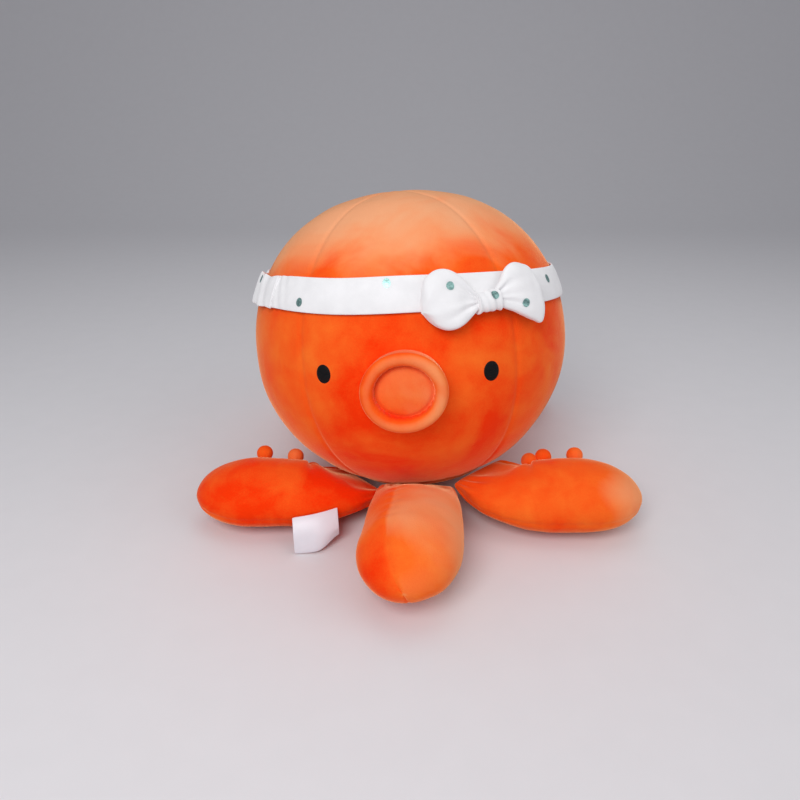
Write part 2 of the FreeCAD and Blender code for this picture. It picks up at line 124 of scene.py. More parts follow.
# shares of the reach, and the wing's height above and below the bow's middle line there
WINGS = {
    "bow_left_wing": Wing(-1, 47.5, (0.0, 0.16, 0.35, 0.54, 0.75, 0.9, 1.0),
                          (6.0, 16.0, 23.5, 26.5, 25.0, 20.0, 9.0),
                          (6.0, 10.0, 14.5, 16.5, 14.5, 9.0, 2.0), 0.0),
    "bow_right_wing": Wing(1, 53.0, (0.0, 0.12, 0.28, 0.45, 0.66, 0.88, 1.0),
                           (6.0, 10.5, 19.0, 23.0, 22.0, 16.0, 3.0),
                           (6.0, 9.0, 12.0, 16.0, 20.5, 22.0, 13.0), 1.7),
}

CAMERA_PLACE = (-0.0078, -0.5313, 0.3132)
CAMERA_TILT = 65.0


def length_property(name, description, size):
    """Property for a length whose default is given in millimetres."""
    return FloatProperty(name=name, description=description, default=size * MM, unit="LENGTH")


def angle_property(name, description, degrees):
    return FloatProperty(name=name, description=description, default=math.radians(degrees), subtype="ANGLE")


def colour_property(name, description, tint):
    return FloatVectorProperty(name=name, description=description, default=tint, subtype="COLOR", size=3)


class HeadSizes(bpy.types.PropertyGroup):
    radius: length_property("Radius", "Widest radius of the head", 139)
    crown: length_property("Crown", "Widest level to crown", 134)
    belly: length_property("Belly", "Widest level to belly", 130)
    side_arc: length_property("Side arc", "Radius at the side and crown", 190)
    shoulder_arc: length_property("Shoulder arc", "Radius of the shoulder and of the flank", 120)
    level: length_property("Level", "Widest level above the floor", 125.6)
    lean_back: angle_property("Lean back", "Lean of the head's axis to the rear", 6.7)
    lean_left: angle_property("Lean left", "Lean of the head's axis to -X", 5.8)
    base_seam: length_property("Base seam", "Radius of the seam round the base", 75)
    groove: length_property("Seam groove", "Depth of the seams between the gores", 1.5)


class FaceSizes(bpy.types.PropertyGroup):
    mouth_turn: angle_property("Mouth turn", "Turn of the mouth from straight ahead", -1.8)
    mouth_level: length_property("Mouth level", "Mouth above the widest level", -2.5)
    ring_radius: length_property("Ring radius", "Middle of the stuffed ring", 26.9)
    ring_half: length_property("Ring half width", "Half width of the stuffed ring", 4.9)
    ring_stand: length_property("Ring stand", "Front of the ring before the skin", 16.5)
    disc_stand: length_property("Disc stand", "Disc inside the ring before the skin", 9.5)
    eye_width: length_property("Eye width", "Width of an embroidered eye", 13.2)
    eye_height: length_property("Eye height", "Height of an embroidered eye", 15.6)


class LegSizes(bpy.types.PropertyGroup):
    half_width: length_property("Half width", "Half width at the thickest place", 40)
    sucker: length_property("Sucker radius", "Radius of a sucker ball", 7.2)


class BandSizes(bpy.types.PropertyGroup):
    level: length_property("Level", "Band's middle above the widest level", 55.6)
    height: length_property("Height", "Height of the band", 24.5)
    thickness: length_property("Thickness", "Thickness of the folded cloth", 2.2)
    bow_turn: angle_property("Bow turn", "Turn of the bow from straight ahead", 28)
    bow_level: length_property("Bow level", "Bow above the widest level", 51.3)
    dot: length_property("Dot radius", "Radius of a foil dot", 3.1)


class Colours(bpy.types.PropertyGroup):
    # The deep and light pile mix by random brushed strokes, and also by each piece's tone, which paints sheen,
    # light and shade in as well as nap.
    pile_deep: colour_property("Deep pile", "Pile brushed towards the viewer", (0.92, 0.036, 0.001))
    pile_light: colour_property("Light pile", "Pile brushed away from the viewer", (0.96, 0.19, 0.022))
    # Painted sheen and light: this pale colour stands for the crown's flattened nap together with painted
    # sheen and light, where a piece's tone is high.
    pale_pile_and_painted_sheen: colour_property("Pale pile", "Pile of the crown, brushed flat", (0.86, 0.38, 0.19))
    pile_sheen: colour_property("Pile sheen", "Colour of the pile's tips", (1.0, 0.54, 0.28))
    velour: colour_property("Velour", "Cloth of the band and bow", (0.86, 0.85, 0.86))
    foil: colour_property("Foil", "Foil of the dots", (0.20, 0.34, 0.32))
    thread: colour_property("Thread", "Embroidery thread", (0.002, 0.002, 0.0025))
    satin: colour_property("Satin", "Care tag", (0.80, 0.78, 0.84))
    floor: colour_property("Floor", "Studio floor", (0.72, 0.71, 0.73))


class OctopusSettings(bpy.types.PropertyGroup):
    head: PointerProperty(type=HeadSizes)
    face: PointerProperty(type=FaceSizes)
    leg: PointerProperty(type=LegSizes)
    band: PointerProperty(type=BandSizes)
    colours: PointerProperty(type=Colours)


def settings():
    return bpy.context.scene.plush_octopus


# ---- Curves and surfaces ----

def hermite(x, knots, values):
    """Smooth curve through the knots: between two of them a cubic with the slopes of their neighbours."""
    knots = np.asarray(knots, float)
    values = np.asarray(values, float)
    slopes = np.gradient(values, knots)
    place = np.clip(np.searchsorted(knots, x, side="right") - 1, 0, len(knots) - 2)
    width = knots[place + 1] - knots[place]
    t = np.clip((x - knots[place]) / width, 0, 1)
    start = (1 + 2 * t) * (1 - t) ** 2 * values[place] + t * (1 - t) ** 2 * width * slopes[place]
    end = t * t * (3 - 2 * t) * values[place + 1] + t * t * (t - 1) * width * slopes[place + 1]
    return start + end


def smooth(value, low, high):
    """0 below low, 1 above high, and 3t^2 - 2t^3 between."""
    t = np.clip((value - low) / (high - low), 0, 1)
    return t * t * (3 - 2 * t)


def bump_at(value, middle, width):
    """Bell of height 1: exp(-((value - middle) / width)^2)."""
    return np.exp(-((value - middle) / width) ** 2)


def squared(value, power):
    """The value's sign times its size to this power. Below 1 it squares an oval's cosines or sines."""
    return np.sign(value) * np.abs(value) ** power


def placed(axes, x, y, z):
    """Points x, y and z along three directions from an origin: axes holds the origin and the directions."""
    origin, first, second, third = axes
    return origin + x[..., None] * first + y[..., None] * second + z[..., None] * third


def lumps(points, size, seed):
    """Soft unevenness from -1 to 1: the mean of twelve sine waves of about this length in fixed directions."""
    rng = np.random.default_rng(seed)
    waves = rng.normal(size=(12, 3))
    waves /= np.linalg.norm(waves, axis=1)[:, None]
    waves *= 2 * math.pi / (size * rng.uniform(0.7, 1.5, (12, 1)))
    phases = rng.uniform(0, 2 * math.pi, 12)
    return np.sin(points @ waves.T + phases).mean(axis=-1) * 1.8


def wrapped(angle):
    """Angle in degrees brought to -180...180."""
    return (angle + 180) % 360 - 180


class Ball:
    """The head's skin: an outline of tangent arcs turned about the head's leaning axis.

    A point is given by its turn, its share of the outline from crown to foot, and how far out it stands."""

    def __init__(self, size):
        side = np.array([size.radius - size.side_arc, 0.0])
        crown = np.array([0.0, size.crown - size.side_arc])
        between = crown - side
        apart = np.linalg.norm(between)
        lift = math.sqrt((size.side_arc - size.shoulder_arc) ** 2 - (apart / 2) ** 2)
        shoulder = (side + crown) / 2 + np.array([-between[1], between[0]]) / apart * lift
        flank = np.array([size.radius - size.shoulder_arc, 0.0])
        flat = flank[0] ** 2 + size.belly ** 2 - size.shoulder_arc ** 2
        belly_arc = flat / (2 * (size.belly - size.shoulder_arc))
        belly = np.array([0.0, belly_arc - size.belly])

        def slope(line):
            return math.atan2(line[1], line[0])

        arcs = (
            (crown, size.side_arc, math.pi / 2, slope(shoulder - crown)),
            (shoulder, size.shoulder_arc, slope(shoulder - crown), slope(shoulder - side)),
            (side, size.side_arc, slope(shoulder - side), 0.0),
            (flank, size.shoulder_arc, 0.0, slope(flank - belly)),
            (belly, belly_arc, slope(flank - belly), -math.pi / 2),
        )
        angles = [np.linspace(start, end, 160) for _, _, start, end in arcs]
        self.normals = np.concatenate([np.stack([np.cos(a), np.sin(a)], 1) for a in angles])
        self.outline = np.concatenate([
            centre + radius * np.stack([np.cos(a), np.sin(a)], 1)
            for (centre, radius, _, _), a in zip(arcs, angles)
        ])
        steps = np.linalg.norm(np.diff(self.outline, axis=0), axis=1)
        self.share = np.concatenate([[0], np.cumsum(steps)]) / steps.sum()
        self.length = steps.sum()
        back, left = -size.lean_back, -size.lean_left
        c, s = math.cos(back), math.sin(back)
        about_x = np.array([[1, 0, 0], [0, c, -s], [0, s, c]])
        c, s = math.cos(left), math.sin(left)
        about_y = np.array([[c, 0, s], [0, 1, 0], [-s, 0, c]])
        self.turned = about_y @ about_x
        self.axis = self.turned[:, 2]
        self.place = np.array([-self.axis[0] * belly[1], -self.axis[1] * belly[1], size.level])
        self.widest = size.radius
        self.seam_share = self.share_of_radius(size.base_seam)
        self.seam_middle = self.world(np.array([0.0, 0.0, self.height(self.seam_share)]))

    def share_of_radius(self, radius):
        """Share of the outline, on its lower half, where it has this radius."""
        lower = self.outline[:, 1] < 0
        return float(np.interp(-radius, -self.outline[lower, 0], self.share[lower]))

    def at_level(self, level):
        """Share of the outline at a height above the widest level."""
        return np.interp(-np.asarray(level), -self.outline[:, 1], self.share)

    def radius(self, share):
        return np.interp(share, self.share, self.outline[:, 0])

    def height(self, share):
        return np.interp(share, self.share, self.outline[:, 1])

    def normal(self, share):
        return (np.interp(share, self.share, column) for column in self.normals.T)

    def world(self, points):
        return points @ self.turned.T + self.place

    def point(self, turn, share, out=0.0):
        """Skin point at a turn in degrees: radius and height of the outline, pushed out along its normal."""
        across, up = self.normal(share)
        reach = self.radius(share) + out * across
        angle = np.radians(turn)
        level = self.height(share) + out * up
        points = np.stack(np.broadcast_arrays(reach * np.sin(angle), -reach * np.cos(angle), level), -1)
        return self.world(points)

    def underside(self, points):
        """Height of the skin over points on the floor, from the outline's lower half on the tilted axis.
        Beyond the head nothing is over them."""
        off = points[..., :2] - self.seam_middle[:2]
        out = np.linalg.norm(off, axis=-1)
        lower = self.outline[:, 1] < 0
        depth = np.interp(-out, -self.outline[lower, 0], self.outline[lower, 1])
        tilt = -(off @ self.axis[:2]) / self.axis[2]
        skin = self.seam_middle[2] + tilt + depth - self.height(self.seam_share)
        return np.where(out < 0.995 * self.widest, skin, np.inf)

    def roof(self, points, distance):
        """Height that a leg may reach: below the head by a gap that grows along the leg, which has to rise."""
        return self.underside(points) - HEAD_CLEARANCE * MM - RISING_ROOM * distance


def piece(name, points, closed=True, poles=(False, False), outwards=True, tone=None):
    """Mesh object from rows of points: quads between neighbours, and a fan to the middle of each pole."""
    rows, columns = points.shape[:2]
    index = np.arange(rows * columns).reshape(rows, columns)
    here = index if closed else index[:, :-1]
    beside = np.roll(index, -1, axis=1) if closed else index[:, 1:]
    quads = np.stack([here[:-1], beside[:-1], beside[1:], here[1:]], -1).reshape(-1, 4)
    span = here.shape[1]
    u = np.broadcast_to(np.arange(span) / span, (rows - 1, span))
    v = np.broadcast_to((np.arange(rows - 1) / (rows - 1))[:, None], (rows - 1, span))
    du, dv = 1 / span, 1 / (rows - 1)
    uv = np.stack([np.stack([u, v], -1), np.stack([u + du, v], -1),
                   np.stack([u + du, v + dv], -1), np.stack([u, v + dv], -1)], 2).reshape(-1, 2)
    vertices = [points.reshape(-1, 3)]
    faces = quads.tolist()
    count = rows * columns
    for pole, row, order in ((poles[0], 0, 1), (poles[1], rows - 1, -1)):
        if not pole:
            continue
        vertices.append(points[row].mean(axis=0)[None])
        fan = np.stack([np.full(span, count), beside[row], here[row]], -1)[:, ::order]
        faces += fan.tolist()
        ends = np.arange(span) / span
        level = row / (rows - 1)
        triangle = np.stack([np.stack([ends + du / 2, np.full(span, level)], -1),
                             np.stack([ends + du, np.full(span, level)], -1),
                             np.stack([ends, np.full(span, level)], -1)], 1)[:, ::order]
        uv = np.concatenate([uv, triangle.reshape(-1, 2)])
        count += 1
    if not outwards:
        faces = [face[::-1] for face in faces]
        corners = len(quads) * 4
        uv = np.concatenate([uv[:corners].reshape(-1, 4, 2)[:, ::-1].reshape(-1, 2),
                             uv[corners:].reshape(-1, 3, 2)[:, ::-1].reshape(-1, 2)])
    mesh = bpy.data.meshes.new(name)
    mesh.from_pydata(np.concatenate(vertices), [], faces)
    layer = mesh.uv_layers.new(name="cloth")
    layer.data.foreach_set("uv", uv.ravel())
    mesh.polygons.foreach_set("use_smooth", np.ones(len(mesh.polygons), bool))
    if tone is not None:
        values = np.full(len(mesh.vertices), float(np.mean(tone)))
        values[:rows * columns] = np.broadcast_to(tone, (rows, columns)).ravel()
        attribute = mesh.attributes.new("tone", "FLOAT", "POINT")
        attribute.data.foreach_set("value", values)
    mesh.update()
    obj = bpy.data.objects.new(name, mesh)
    bpy.context.scene.collection.objects.link(obj)
    return obj


def coordinates(obj):
    points = np.empty(len(obj.data.vertices) * 3)
    obj.data.vertices.foreach_get("co", points)
    return points.reshape(-1, 3)


def vertex_normals(obj):
    normals = np.empty(len(obj.data.vertices) * 3, np.float32)
    obj.data.vertex_normals.foreach_get("vector", normals)
    return normals.reshape(-1, 3).astype(float)


def move_points(obj, points):
    obj.data.vertices.foreach_set("co", points.ravel())
    obj.data.update()


def finer(obj):
    """Rounds the piece with a subdivision surface."""
    modifier = obj.modifiers.new("Finer", "SUBSURF")
    modifier.levels = 1
    modifier.render_levels = 1


def stuffed(obj, sewn, cap, steps=20):
    """Swells a closed skin by cloth simulation under pressure, held at its sewn points, and keeps the result.

    sewn is each point's hold from 0 to 1. A point that moves by d is kept at cap tanh(d / cap)."""
    group = obj.vertex_groups.new(name="sewn")
    for hold in (0.5, 1.0):
        group.add(np.nonzero(sewn >= hold)[0].tolist(), hold, "REPLACE")
    cloth = obj.modifiers.new("Stuffing", "CLOTH")
    cloth.settings.vertex_group_mass = "sewn"
    cloth.settings.use_pressure = True
    cloth.settings.uniform_pressure_force = 4
    cloth.settings.effector_weights.gravity = 0
    cloth.settings.quality = 6
    cloth.settings.mass = 0.2
    cloth.settings.tension_stiffness = 12
    cloth.settings.compression_stiffness = 12
    cloth.settings.bending_stiffness = 0.3
    cloth.collision_settings.use_collision = False
    cloth.point_cache.frame_start = 1
    cloth.point_cache.frame_end = steps
    scene = bpy.context.scene
    for step in range(1, steps + 1):
        scene.frame_set(step)
    rest = coordinates(obj)
    moved = coordinates(obj.evaluated_get(bpy.context.evaluated_depsgraph_get())) - rest
    obj.modifiers.remove(cloth)
    scene.frame_set(1)
    distance = np.linalg.norm(moved, axis=1)[:, None]
    move_points(obj, rest + moved / np.maximum(distance, 1e-9) * cap * np.tanh(distance / cap))


# ---- Materials ----

class Finish:
    """A procedural material on Object coordinates, built node by node."""

    def __init__(self, name, roughness, sheen=0.0, sheen_roughness=0.4, sheen_tint=(1, 1, 1), metallic=0.0,
                 gloss=0.5):
        self.material = bpy.data.materials.new(name)
        self.material.use_nodes = True
        self.nodes = self.material.node_tree.nodes
        self.links = self.material.node_tree.links
        self.shader = self.nodes["Principled BSDF"]
        self.shader.inputs["Roughness"].default_value = roughness
        self.shader.inputs["Metallic"].default_value = metallic
        self.shader.inputs["Specular IOR Level"].default_value = gloss
        self.shader.inputs["Sheen Weight"].default_value = sheen
        self.shader.inputs["Sheen Roughness"].default_value = sheen_roughness
        self.shader.inputs["Sheen Tint"].default_value = (*sheen_tint, 1)
        self.place = self.nodes.new("ShaderNodeTexCoord").outputs["Object"]

    def noise(self, scale, detail=2.0, distortion=0.0, stretch=None):
        node = self.nodes.new("ShaderNodeTexNoise")
        node.inputs["Scale"].default_value = scale
        node.inputs["Detail"].default_value = detail
        node.inputs["Distortion"].default_value = distortion
        source = self.place
        if stretch:
            mapping = self.nodes.new("ShaderNodeMapping")
            mapping.inputs["Scale"].default_value = stretch
            self.links.new(source, mapping.inputs["Vector"])
            source = mapping.outputs["Vector"]
        self.links.new(source, node.inputs["Vector"])
        return node.outputs["Fac"]

    def remap(self, value, low, high, to_low=0.0, to_high=1.0):
        node = self.nodes.new("ShaderNodeMapRange")
        node.inputs["From Min"].default_value = low
        node.inputs["From Max"].default_value = high
        node.inputs["To Min"].default_value = to_low
        node.inputs["To Max"].default_value = to_high
        self.links.new(value, node.inputs["Value"])
        return node.outputs["Result"]

    def scaled(self, value, factor):
        node = self.nodes.new("ShaderNodeMath")
        node.operation = "MULTIPLY"
        self.links.new(value, node.inputs[0])
        node.inputs[1].default_value = factor
        return node.outputs["Value"]

    def total(self, first, *others):
        """Sum of the sockets."""
        for other in others:
            node = self.nodes.new("ShaderNodeMath")
            self.links.new(first, node.inputs[0])
            self.links.new(other, node.inputs[1])
            first = node.outputs["Value"]
        return first

    def mix(self, share, first, second):
        node = self.nodes.new("ShaderNodeMix")
        node.data_type = "RGBA"
        self.links.new(share, node.inputs["Factor"])
        for socket, value in zip((node.inputs[6], node.inputs[7]), (first, second)):
            if isinstance(value, bpy.types.NodeSocket):
                self.links.new(value, socket)
            else:
                socket.default_value = (*value, 1)
        return node.outputs[2]

    def tone(self):
        """How pale the pile is painted, from the piece's own attribute: random tone and nap, and painted
        sheen, light and shade.
        """
        node = self.nodes.new("ShaderNodeAttribute")
        node.attribute_name = "tone"
        return node.outputs["Fac"]

    def colour(self, socket):
        self.links.new(socket, self.shader.inputs["Base Color"])

    def rough(self, socket):
        self.links.new(socket, self.shader.inputs["Roughness"])

    def bump(self, height, distance, strength=1.0, below=None):
        node = self.nodes.new("ShaderNodeBump")
        node.inputs["Distance"].default_value = distance
        node.inputs["Strength"].default_value = strength
        self.links.new(height, node.inputs["Height"])
        if below is not None:
            self.links.new(below, node.inputs["Normal"])
        self.links.new(node.outputs["Normal"], self.shader.inputs["Normal"])
        return node.outputs["Normal"]


def pile_finish():
    """Short brushed pile: broad strokes lean light or deep, tufts mottle them, each piece's tone paints in
    sheen, light and shade, and the tips shine.
    """
    colours = settings().colours
    finish = Finish("Brushed pile", 0.95, 1.0, 0.3, tuple(colours.pile_sheen), gloss=0.05)
    strokes = finish.noise(16, 4, 0.7)
    smudges = finish.noise(55, 3, 0.4)
    tufts = finish.noise(900, 2)
    # Each adds its own share of lightness; the tone's share is partly painted sheen, light and shade.
    lightness = finish.total(finish.remap(strokes, 0.32, 0.68, 0, 0.68),
                             finish.remap(smudges, 0.35, 0.65, 0, 0.22),
                             finish.scaled(finish.tone(), 0.9),
                             finish.remap(tufts, 0.3, 0.7, 0, 0.14))
    lightness = finish.remap(lightness, 0.38, 1.45)
    brushed = finish.mix(lightness, tuple(colours.pile_deep), tuple(colours.pile_light))
    # Painted sheen: where the tone is high, mostly on the crown, the colour turns to the pale pile.
    flat_pile_and_sheen = finish.total(finish.tone(), finish.remap(strokes, 0.3, 0.7, -0.175, 0.175))
    finish.colour(finish.mix(finish.remap(flat_pile_and_sheen, 0.55, 1.1), brushed, tuple(colours.pale_pile_and_painted_sheen)))
    finish.rough(finish.remap(tufts, 0.2, 0.8, 0.82, 0.98))
    soft = finish.bump(smudges, 0.0009, 0.5)
    finish.bump(tufts, 0.0004, 0.55, soft)
    return finish.material


def velour_finish():
    """White short nap: a faint grey mottle and a fine even bump."""
    colours = settings().colours
    finish = Finish("White velour", 0.88, 0.35, 0.5)
    mottle = finish.noise(70, 3)
    nap = finish.noise(1400, 2)
    light = tuple(colours.velour)
    finish.colour(finish.mix(finish.remap(mottle, 0.3, 0.7), tuple(v * 0.93 for v in light), light))
    finish.rough(finish.remap(nap, 0.2, 0.8, 0.8, 0.95))
    soft = finish.bump(mottle, 0.0006, 0.4)
    finish.bump(nap, 0.0003, 0.5, soft)
    return finish.material


def foil_finish():
    """Pressed foil, a little crazed."""
    colours = settings().colours
    finish = Finish("Pressed foil", 0.3, metallic=0.85)
    crazing = finish.noise(900, 3)
    foil = tuple(colours.foil)
    finish.colour(finish.mix(finish.remap(crazing, 0.35, 0.65), foil, tuple(min(1, v * 1.7) for v in foil)))
    finish.rough(finish.remap(crazing, 0.2, 0.8, 0.22, 0.5))
    finish.bump(crazing, 0.0002, 0.4)
    return finish.material


def thread_finish():
    """Satin stitch: black threads that run across the oval, each with its own round gloss."""
    colours = settings().colours
    finish = Finish("Black embroidery", 0.55, gloss=0.12)
    strands = finish.noise(260, 2, 0.1, (0.35, 1.0, 9.0))
    black = tuple(colours.thread)
    finish.colour(finish.mix(finish.remap(strands, 0.3, 0.7), black, tuple(v * 2 + 0.002 for v in black)))
    finish.rough(finish.remap(strands, 0.2, 0.8, 0.35, 0.6))
    finish.bump(strands, 0.0005, 0.8)
    return finish.material


def satin_finish():
    """Satin ribbon with a fine lengthwise weave."""
    colours = settings().colours
    finish = Finish("Satin ribbon", 0.32, 0.3, 0.3)
    weave = finish.noise(700, 2, 0.0, (4.0, 1.0, 1.0))
    folds = finish.noise(60, 2)
    satin = tuple(colours.satin)
    finish.colour(finish.mix(finish.remap(folds, 0.35, 0.65), tuple(v * 0.94 for v in satin), satin))
    finish.rough(finish.remap(weave, 0.2, 0.8, 0.25, 0.45))
    finish.bump(weave, 0.0002, 0.5)
    return finish.material


def dress(obj, maker, body):
    """Gives the piece its finish, made once, and lets it ride on its body, if it has one of its own."""
    material = bpy.data.materials.get(FINISHES[maker]) or maker()
    obj.data.materials.clear()
    obj.data.materials.append(material)
    if body:
        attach(obj, body)


def plush(obj, fill, body, *nodes):
    """Finishes a padded piece of plush that stands for these nodes."""
    finer(obj)
    dress(obj, pile_finish, body)
    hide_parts(*nodes)


def velour(obj, flat, held, under, *nodes):
    """Finishes a sheet of the headband's velour that rests on another piece and stands for these nodes."""
    finer(obj)
    dress(obj, velour_finish, "headband")
    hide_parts(*nodes)


def foil_dot(name, points):
    dot = piece(name, points, poles=(False, True))
    dress(dot, foil_finish, "headband")


def dot_grid():
    """Angles round a foil dot, and shares of its radius from rim to middle."""
    return np.meshgrid(np.radians(np.arange(0, 360, 30.0)), np.linspace(1, 0.1, 6))


FINISHES = {
    pile_finish: "Brushed pile",
    velour_finish: "White velour",
    foil_finish: "Pressed foil",
    thread_finish: "Black embroidery",
    satin_finish: "Satin ribbon",
}


# ---- Head ----

def seam_distance(turns, radius):
    """Distance along the skin from the nearest gore seam, in metres."""
    gaps = np.abs(wrapped(turns[..., None] - np.array(GORE_SEAMS))).min(axis=-1)
    return np.radians(gaps) * radius


def clustered_turns():
    """Turns round the head: five steps of 0.8 degrees on each side of a gore seam, and even ones between."""
    half = np.concatenate([np.linspace(0, 4, 6)[:-1], np.linspace(4, 36, 9)])
    sector = np.concatenate([half, 72 - half[::-1][1:-1]])
    return np.concatenate([sector + seam for seam in np.sort(GORE_SEAMS)])


class OCTOPUS_OT_head(bpy.types.Operator):
    """Head skin: gores swollen by their filling between grooved seams, from the crown to the base seam"""

    bl_idname = "octopus.head"
    bl_label = "Head skin"

    def execute(self, context):
        size = settings().head
        ball = Ball(size)
        turns = clustered_turns()
        shares = np.concatenate([np.linspace(0.012, 0.1, 8)[:-1], np.linspace(0.1, ball.seam_share, 62)])
        turn, share = np.meshgrid(turns, shares)
        gap = seam_distance(turn, ball.radius(share))
        # The skin dips at a seam as a narrow bell on a wide one, and swells by a few lumps of filling.
        out = -0.62 * size.groove * bump_at(gap, 0, 2.2 * MM) - 0.5 * size.groove * bump_at(gap, 0, 12 * MM)
        flat = ball.point(turn, share)
        out += 0.9 * MM * lumps(flat, 0.11, 3)
        out += 0.35 * MM * lumps(flat, 0.035, 5) * np.clip(gap / (10 * MM), 0, 1)
        # The gores draw in where the legs are sewn to the base seam.
        last = (share - ball.seam_share) * ball.length
        out -= 1.6 * MM * bump_at(last, 0, 5 * MM)
        out += 0.35 * MM * np.sin(np.radians(turn) * 64) * bump_at(last, -4 * MM, 9 * MM)
        # The pile is painted palest on the crown, partly its flattened nap and partly painted sheen and light
        # that fall there, and painted deepest low in front.
        facing = np.maximum(np.cos(np.radians(turn - 10)), 0)
        tone = 0.36 + 0.76 * smooth(-share, -0.43, -0.15) - 0.22 * smooth(share, 0.42, 0.62) * facing
        skin = piece("head_skin", ball.point(turn, share, out), poles=(True, False), outwards=False, tone=tone)
        plush(skin, 0.9, "head", "front_gore", "right_front_gore", "right_rear_gore", "left_rear_gore",
              "left_front_gore")
        self.base(ball)
        return {"FINISHED"}

    def base(self, ball):
        """Base panel: the ball's cap below the seam, pressed flat by the floor, with puckers at its seam."""
        turns = np.arange(0, 360, 3.0)
        # Its first rows are the seam's hem, which lies behind the gores.
        shares = np.linspace(ball.seam_share - 0.012, 0.992, 38)
        turn, share = np.meshgrid(turns, shares)
        last = (share - ball.seam_share) * ball.length
        out = -2.2 * MM * bump_at(last, 0, 5 * MM) - 2.5 * MM * smooth(-last, 0, 3 * MM)
        out += 0.4 * MM * np.sin(np.radians(turn) * 48) * bump_at(last, 7 * MM, 6 * MM)
        points = ball.point(turn, share, out)
        # A height h above the floor becomes soft log(1 + exp(h / soft)), which levels it without an edge.
        floor, soft = 0.3 * MM, 2.5 * MM
        height = points[..., 2] - floor
        level = floor + soft * np.log1p(np.exp(np.clip(height / soft, -30, 30))) - 0.35 * soft
        points[..., 2] = np.maximum(level, floor)
        panel = piece("base_skin", points, poles=(False, True), outwards=False, tone=0.25)
        plush(panel, 0.9, "head", "base_panel", "head_filling")


# ---- Face ----

def face_frame(ball, turn, level, reach):
    """Origin on the skin, and the directions to the side, up and out of the head there."""
    angle = math.radians(turn)
    local = np.array([reach * math.sin(angle), -reach * math.cos(angle), level])
    side = ball.turned @ np.array([math.cos(angle), math.sin(angle), 0.0])
    out = ball.turned @ np.array([math.sin(angle), -math.cos(angle), 0.0])
    return ball.world(local), side, ball.axis, out


class OCTOPUS_OT_mouth(bpy.types.Operator):
    """Mouth: a stuffed ring sewn to the head at its outer edge and to a recessed disc at its inner edge"""

    bl_idname = "octopus.mouth"
    bl_label = "Mouth"

    def execute(self, context):
        size = settings()
        face = size.face
        ball = Ball(size.head)
        place = face_frame(ball, math.degrees(face.mouth_turn), face.mouth_level, size.head.radius)
        angle, share = np.meshgrid(np.radians(np.arange(0, 360, 3.0)), np.linspace(0, 1, 31))
        # Section from the outer foot over a round crest to the inner seam. The ring is wider than high.
        foot = 0.22
        crest = np.clip((share - foot) / (1 - 2 * foot), 0, 1)
        over = crest * math.pi
        half = face.ring_half * (1 + 0.03 * np.sin(2 * angle + 0.5) + 0.02 * np.sin(3 * angle))
        reach = face.ring_radius + half * np.cos(over)
        rise = face.ring_stand - face.ring_half
        stand = rise + half * np.sin(over)
        outer = np.clip(foot - share, 0, 1) / foot
        inner = np.clip(share - 1 + foot, 0, 1) / foot
        stand = stand - outer * (rise + 5 * MM) - inner * (rise - face.disc_stand + 2.4 * MM)
        reach = reach - 2.5 * MM * outer - 0.4 * MM * np.sin(inner * math.pi / 2)
        # Small puckers where the cloth is drawn into the inner seam.
        reach += 0.35 * MM * np.sin(angle * 26 + np.sin(3 * angle)) * smooth(share, 0.6, 0.95)
        stand += 0.5 * MM * np.sin(2 * angle + 1) * np.sin(over)
        wide = reach * 0.985 * np.cos(angle)
        high = reach * (0.925 - 0.04 * smooth(share, 0.45, 0.85)) * np.sin(angle) + 1.0 * MM
        # The foot follows the ball, which falls away from its widest level.
        sag = (wide ** 2 + high ** 2) / (2 * size.head.radius) * outer
        # Painted light: the ring is painted paler over its round crest, a painted highlight, and darker down
        # its inner side, painted shade where it turns into the recess.
        tone = 0.38 + 0.4 * np.sin(over) * (share < 0.8) - 0.35 * inner
        ring = piece("mouth_ring_skin", placed(place, wide, high, stand - sag), tone=tone)
        plush(ring, 0.8, "head", "mouth_ring", "mouth_ring_filling")
        self.disc(face, place)
        return {"FINISHED"}

    def disc(self, face, place):
        """Disc inside the ring, a little puffed: it falls by the square of the radius and dips at its seam."""
        rim = face.ring_radius - face.ring_half + 1.0 * MM
        shares = np.linspace(1, 0.04, 18)
        angle, share = np.meshgrid(np.radians(np.arange(0, 360, 5.0)), shares)
        wide = rim * share * 0.985 * np.cos(angle)
        high = rim * share * 0.89 * np.sin(angle) + 1.0 * MM
        stand = face.disc_stand + 1.2 * MM - 2.4 * MM * share ** 2 - 1.6 * MM * bump_at(share, 0.93, 0.07)
        disc = piece("mouth_disc_skin", placed(place, wide, high, stand), poles=(False, True), tone=0.72)
        plush(disc, 0.5, "head", "mouth_disc")


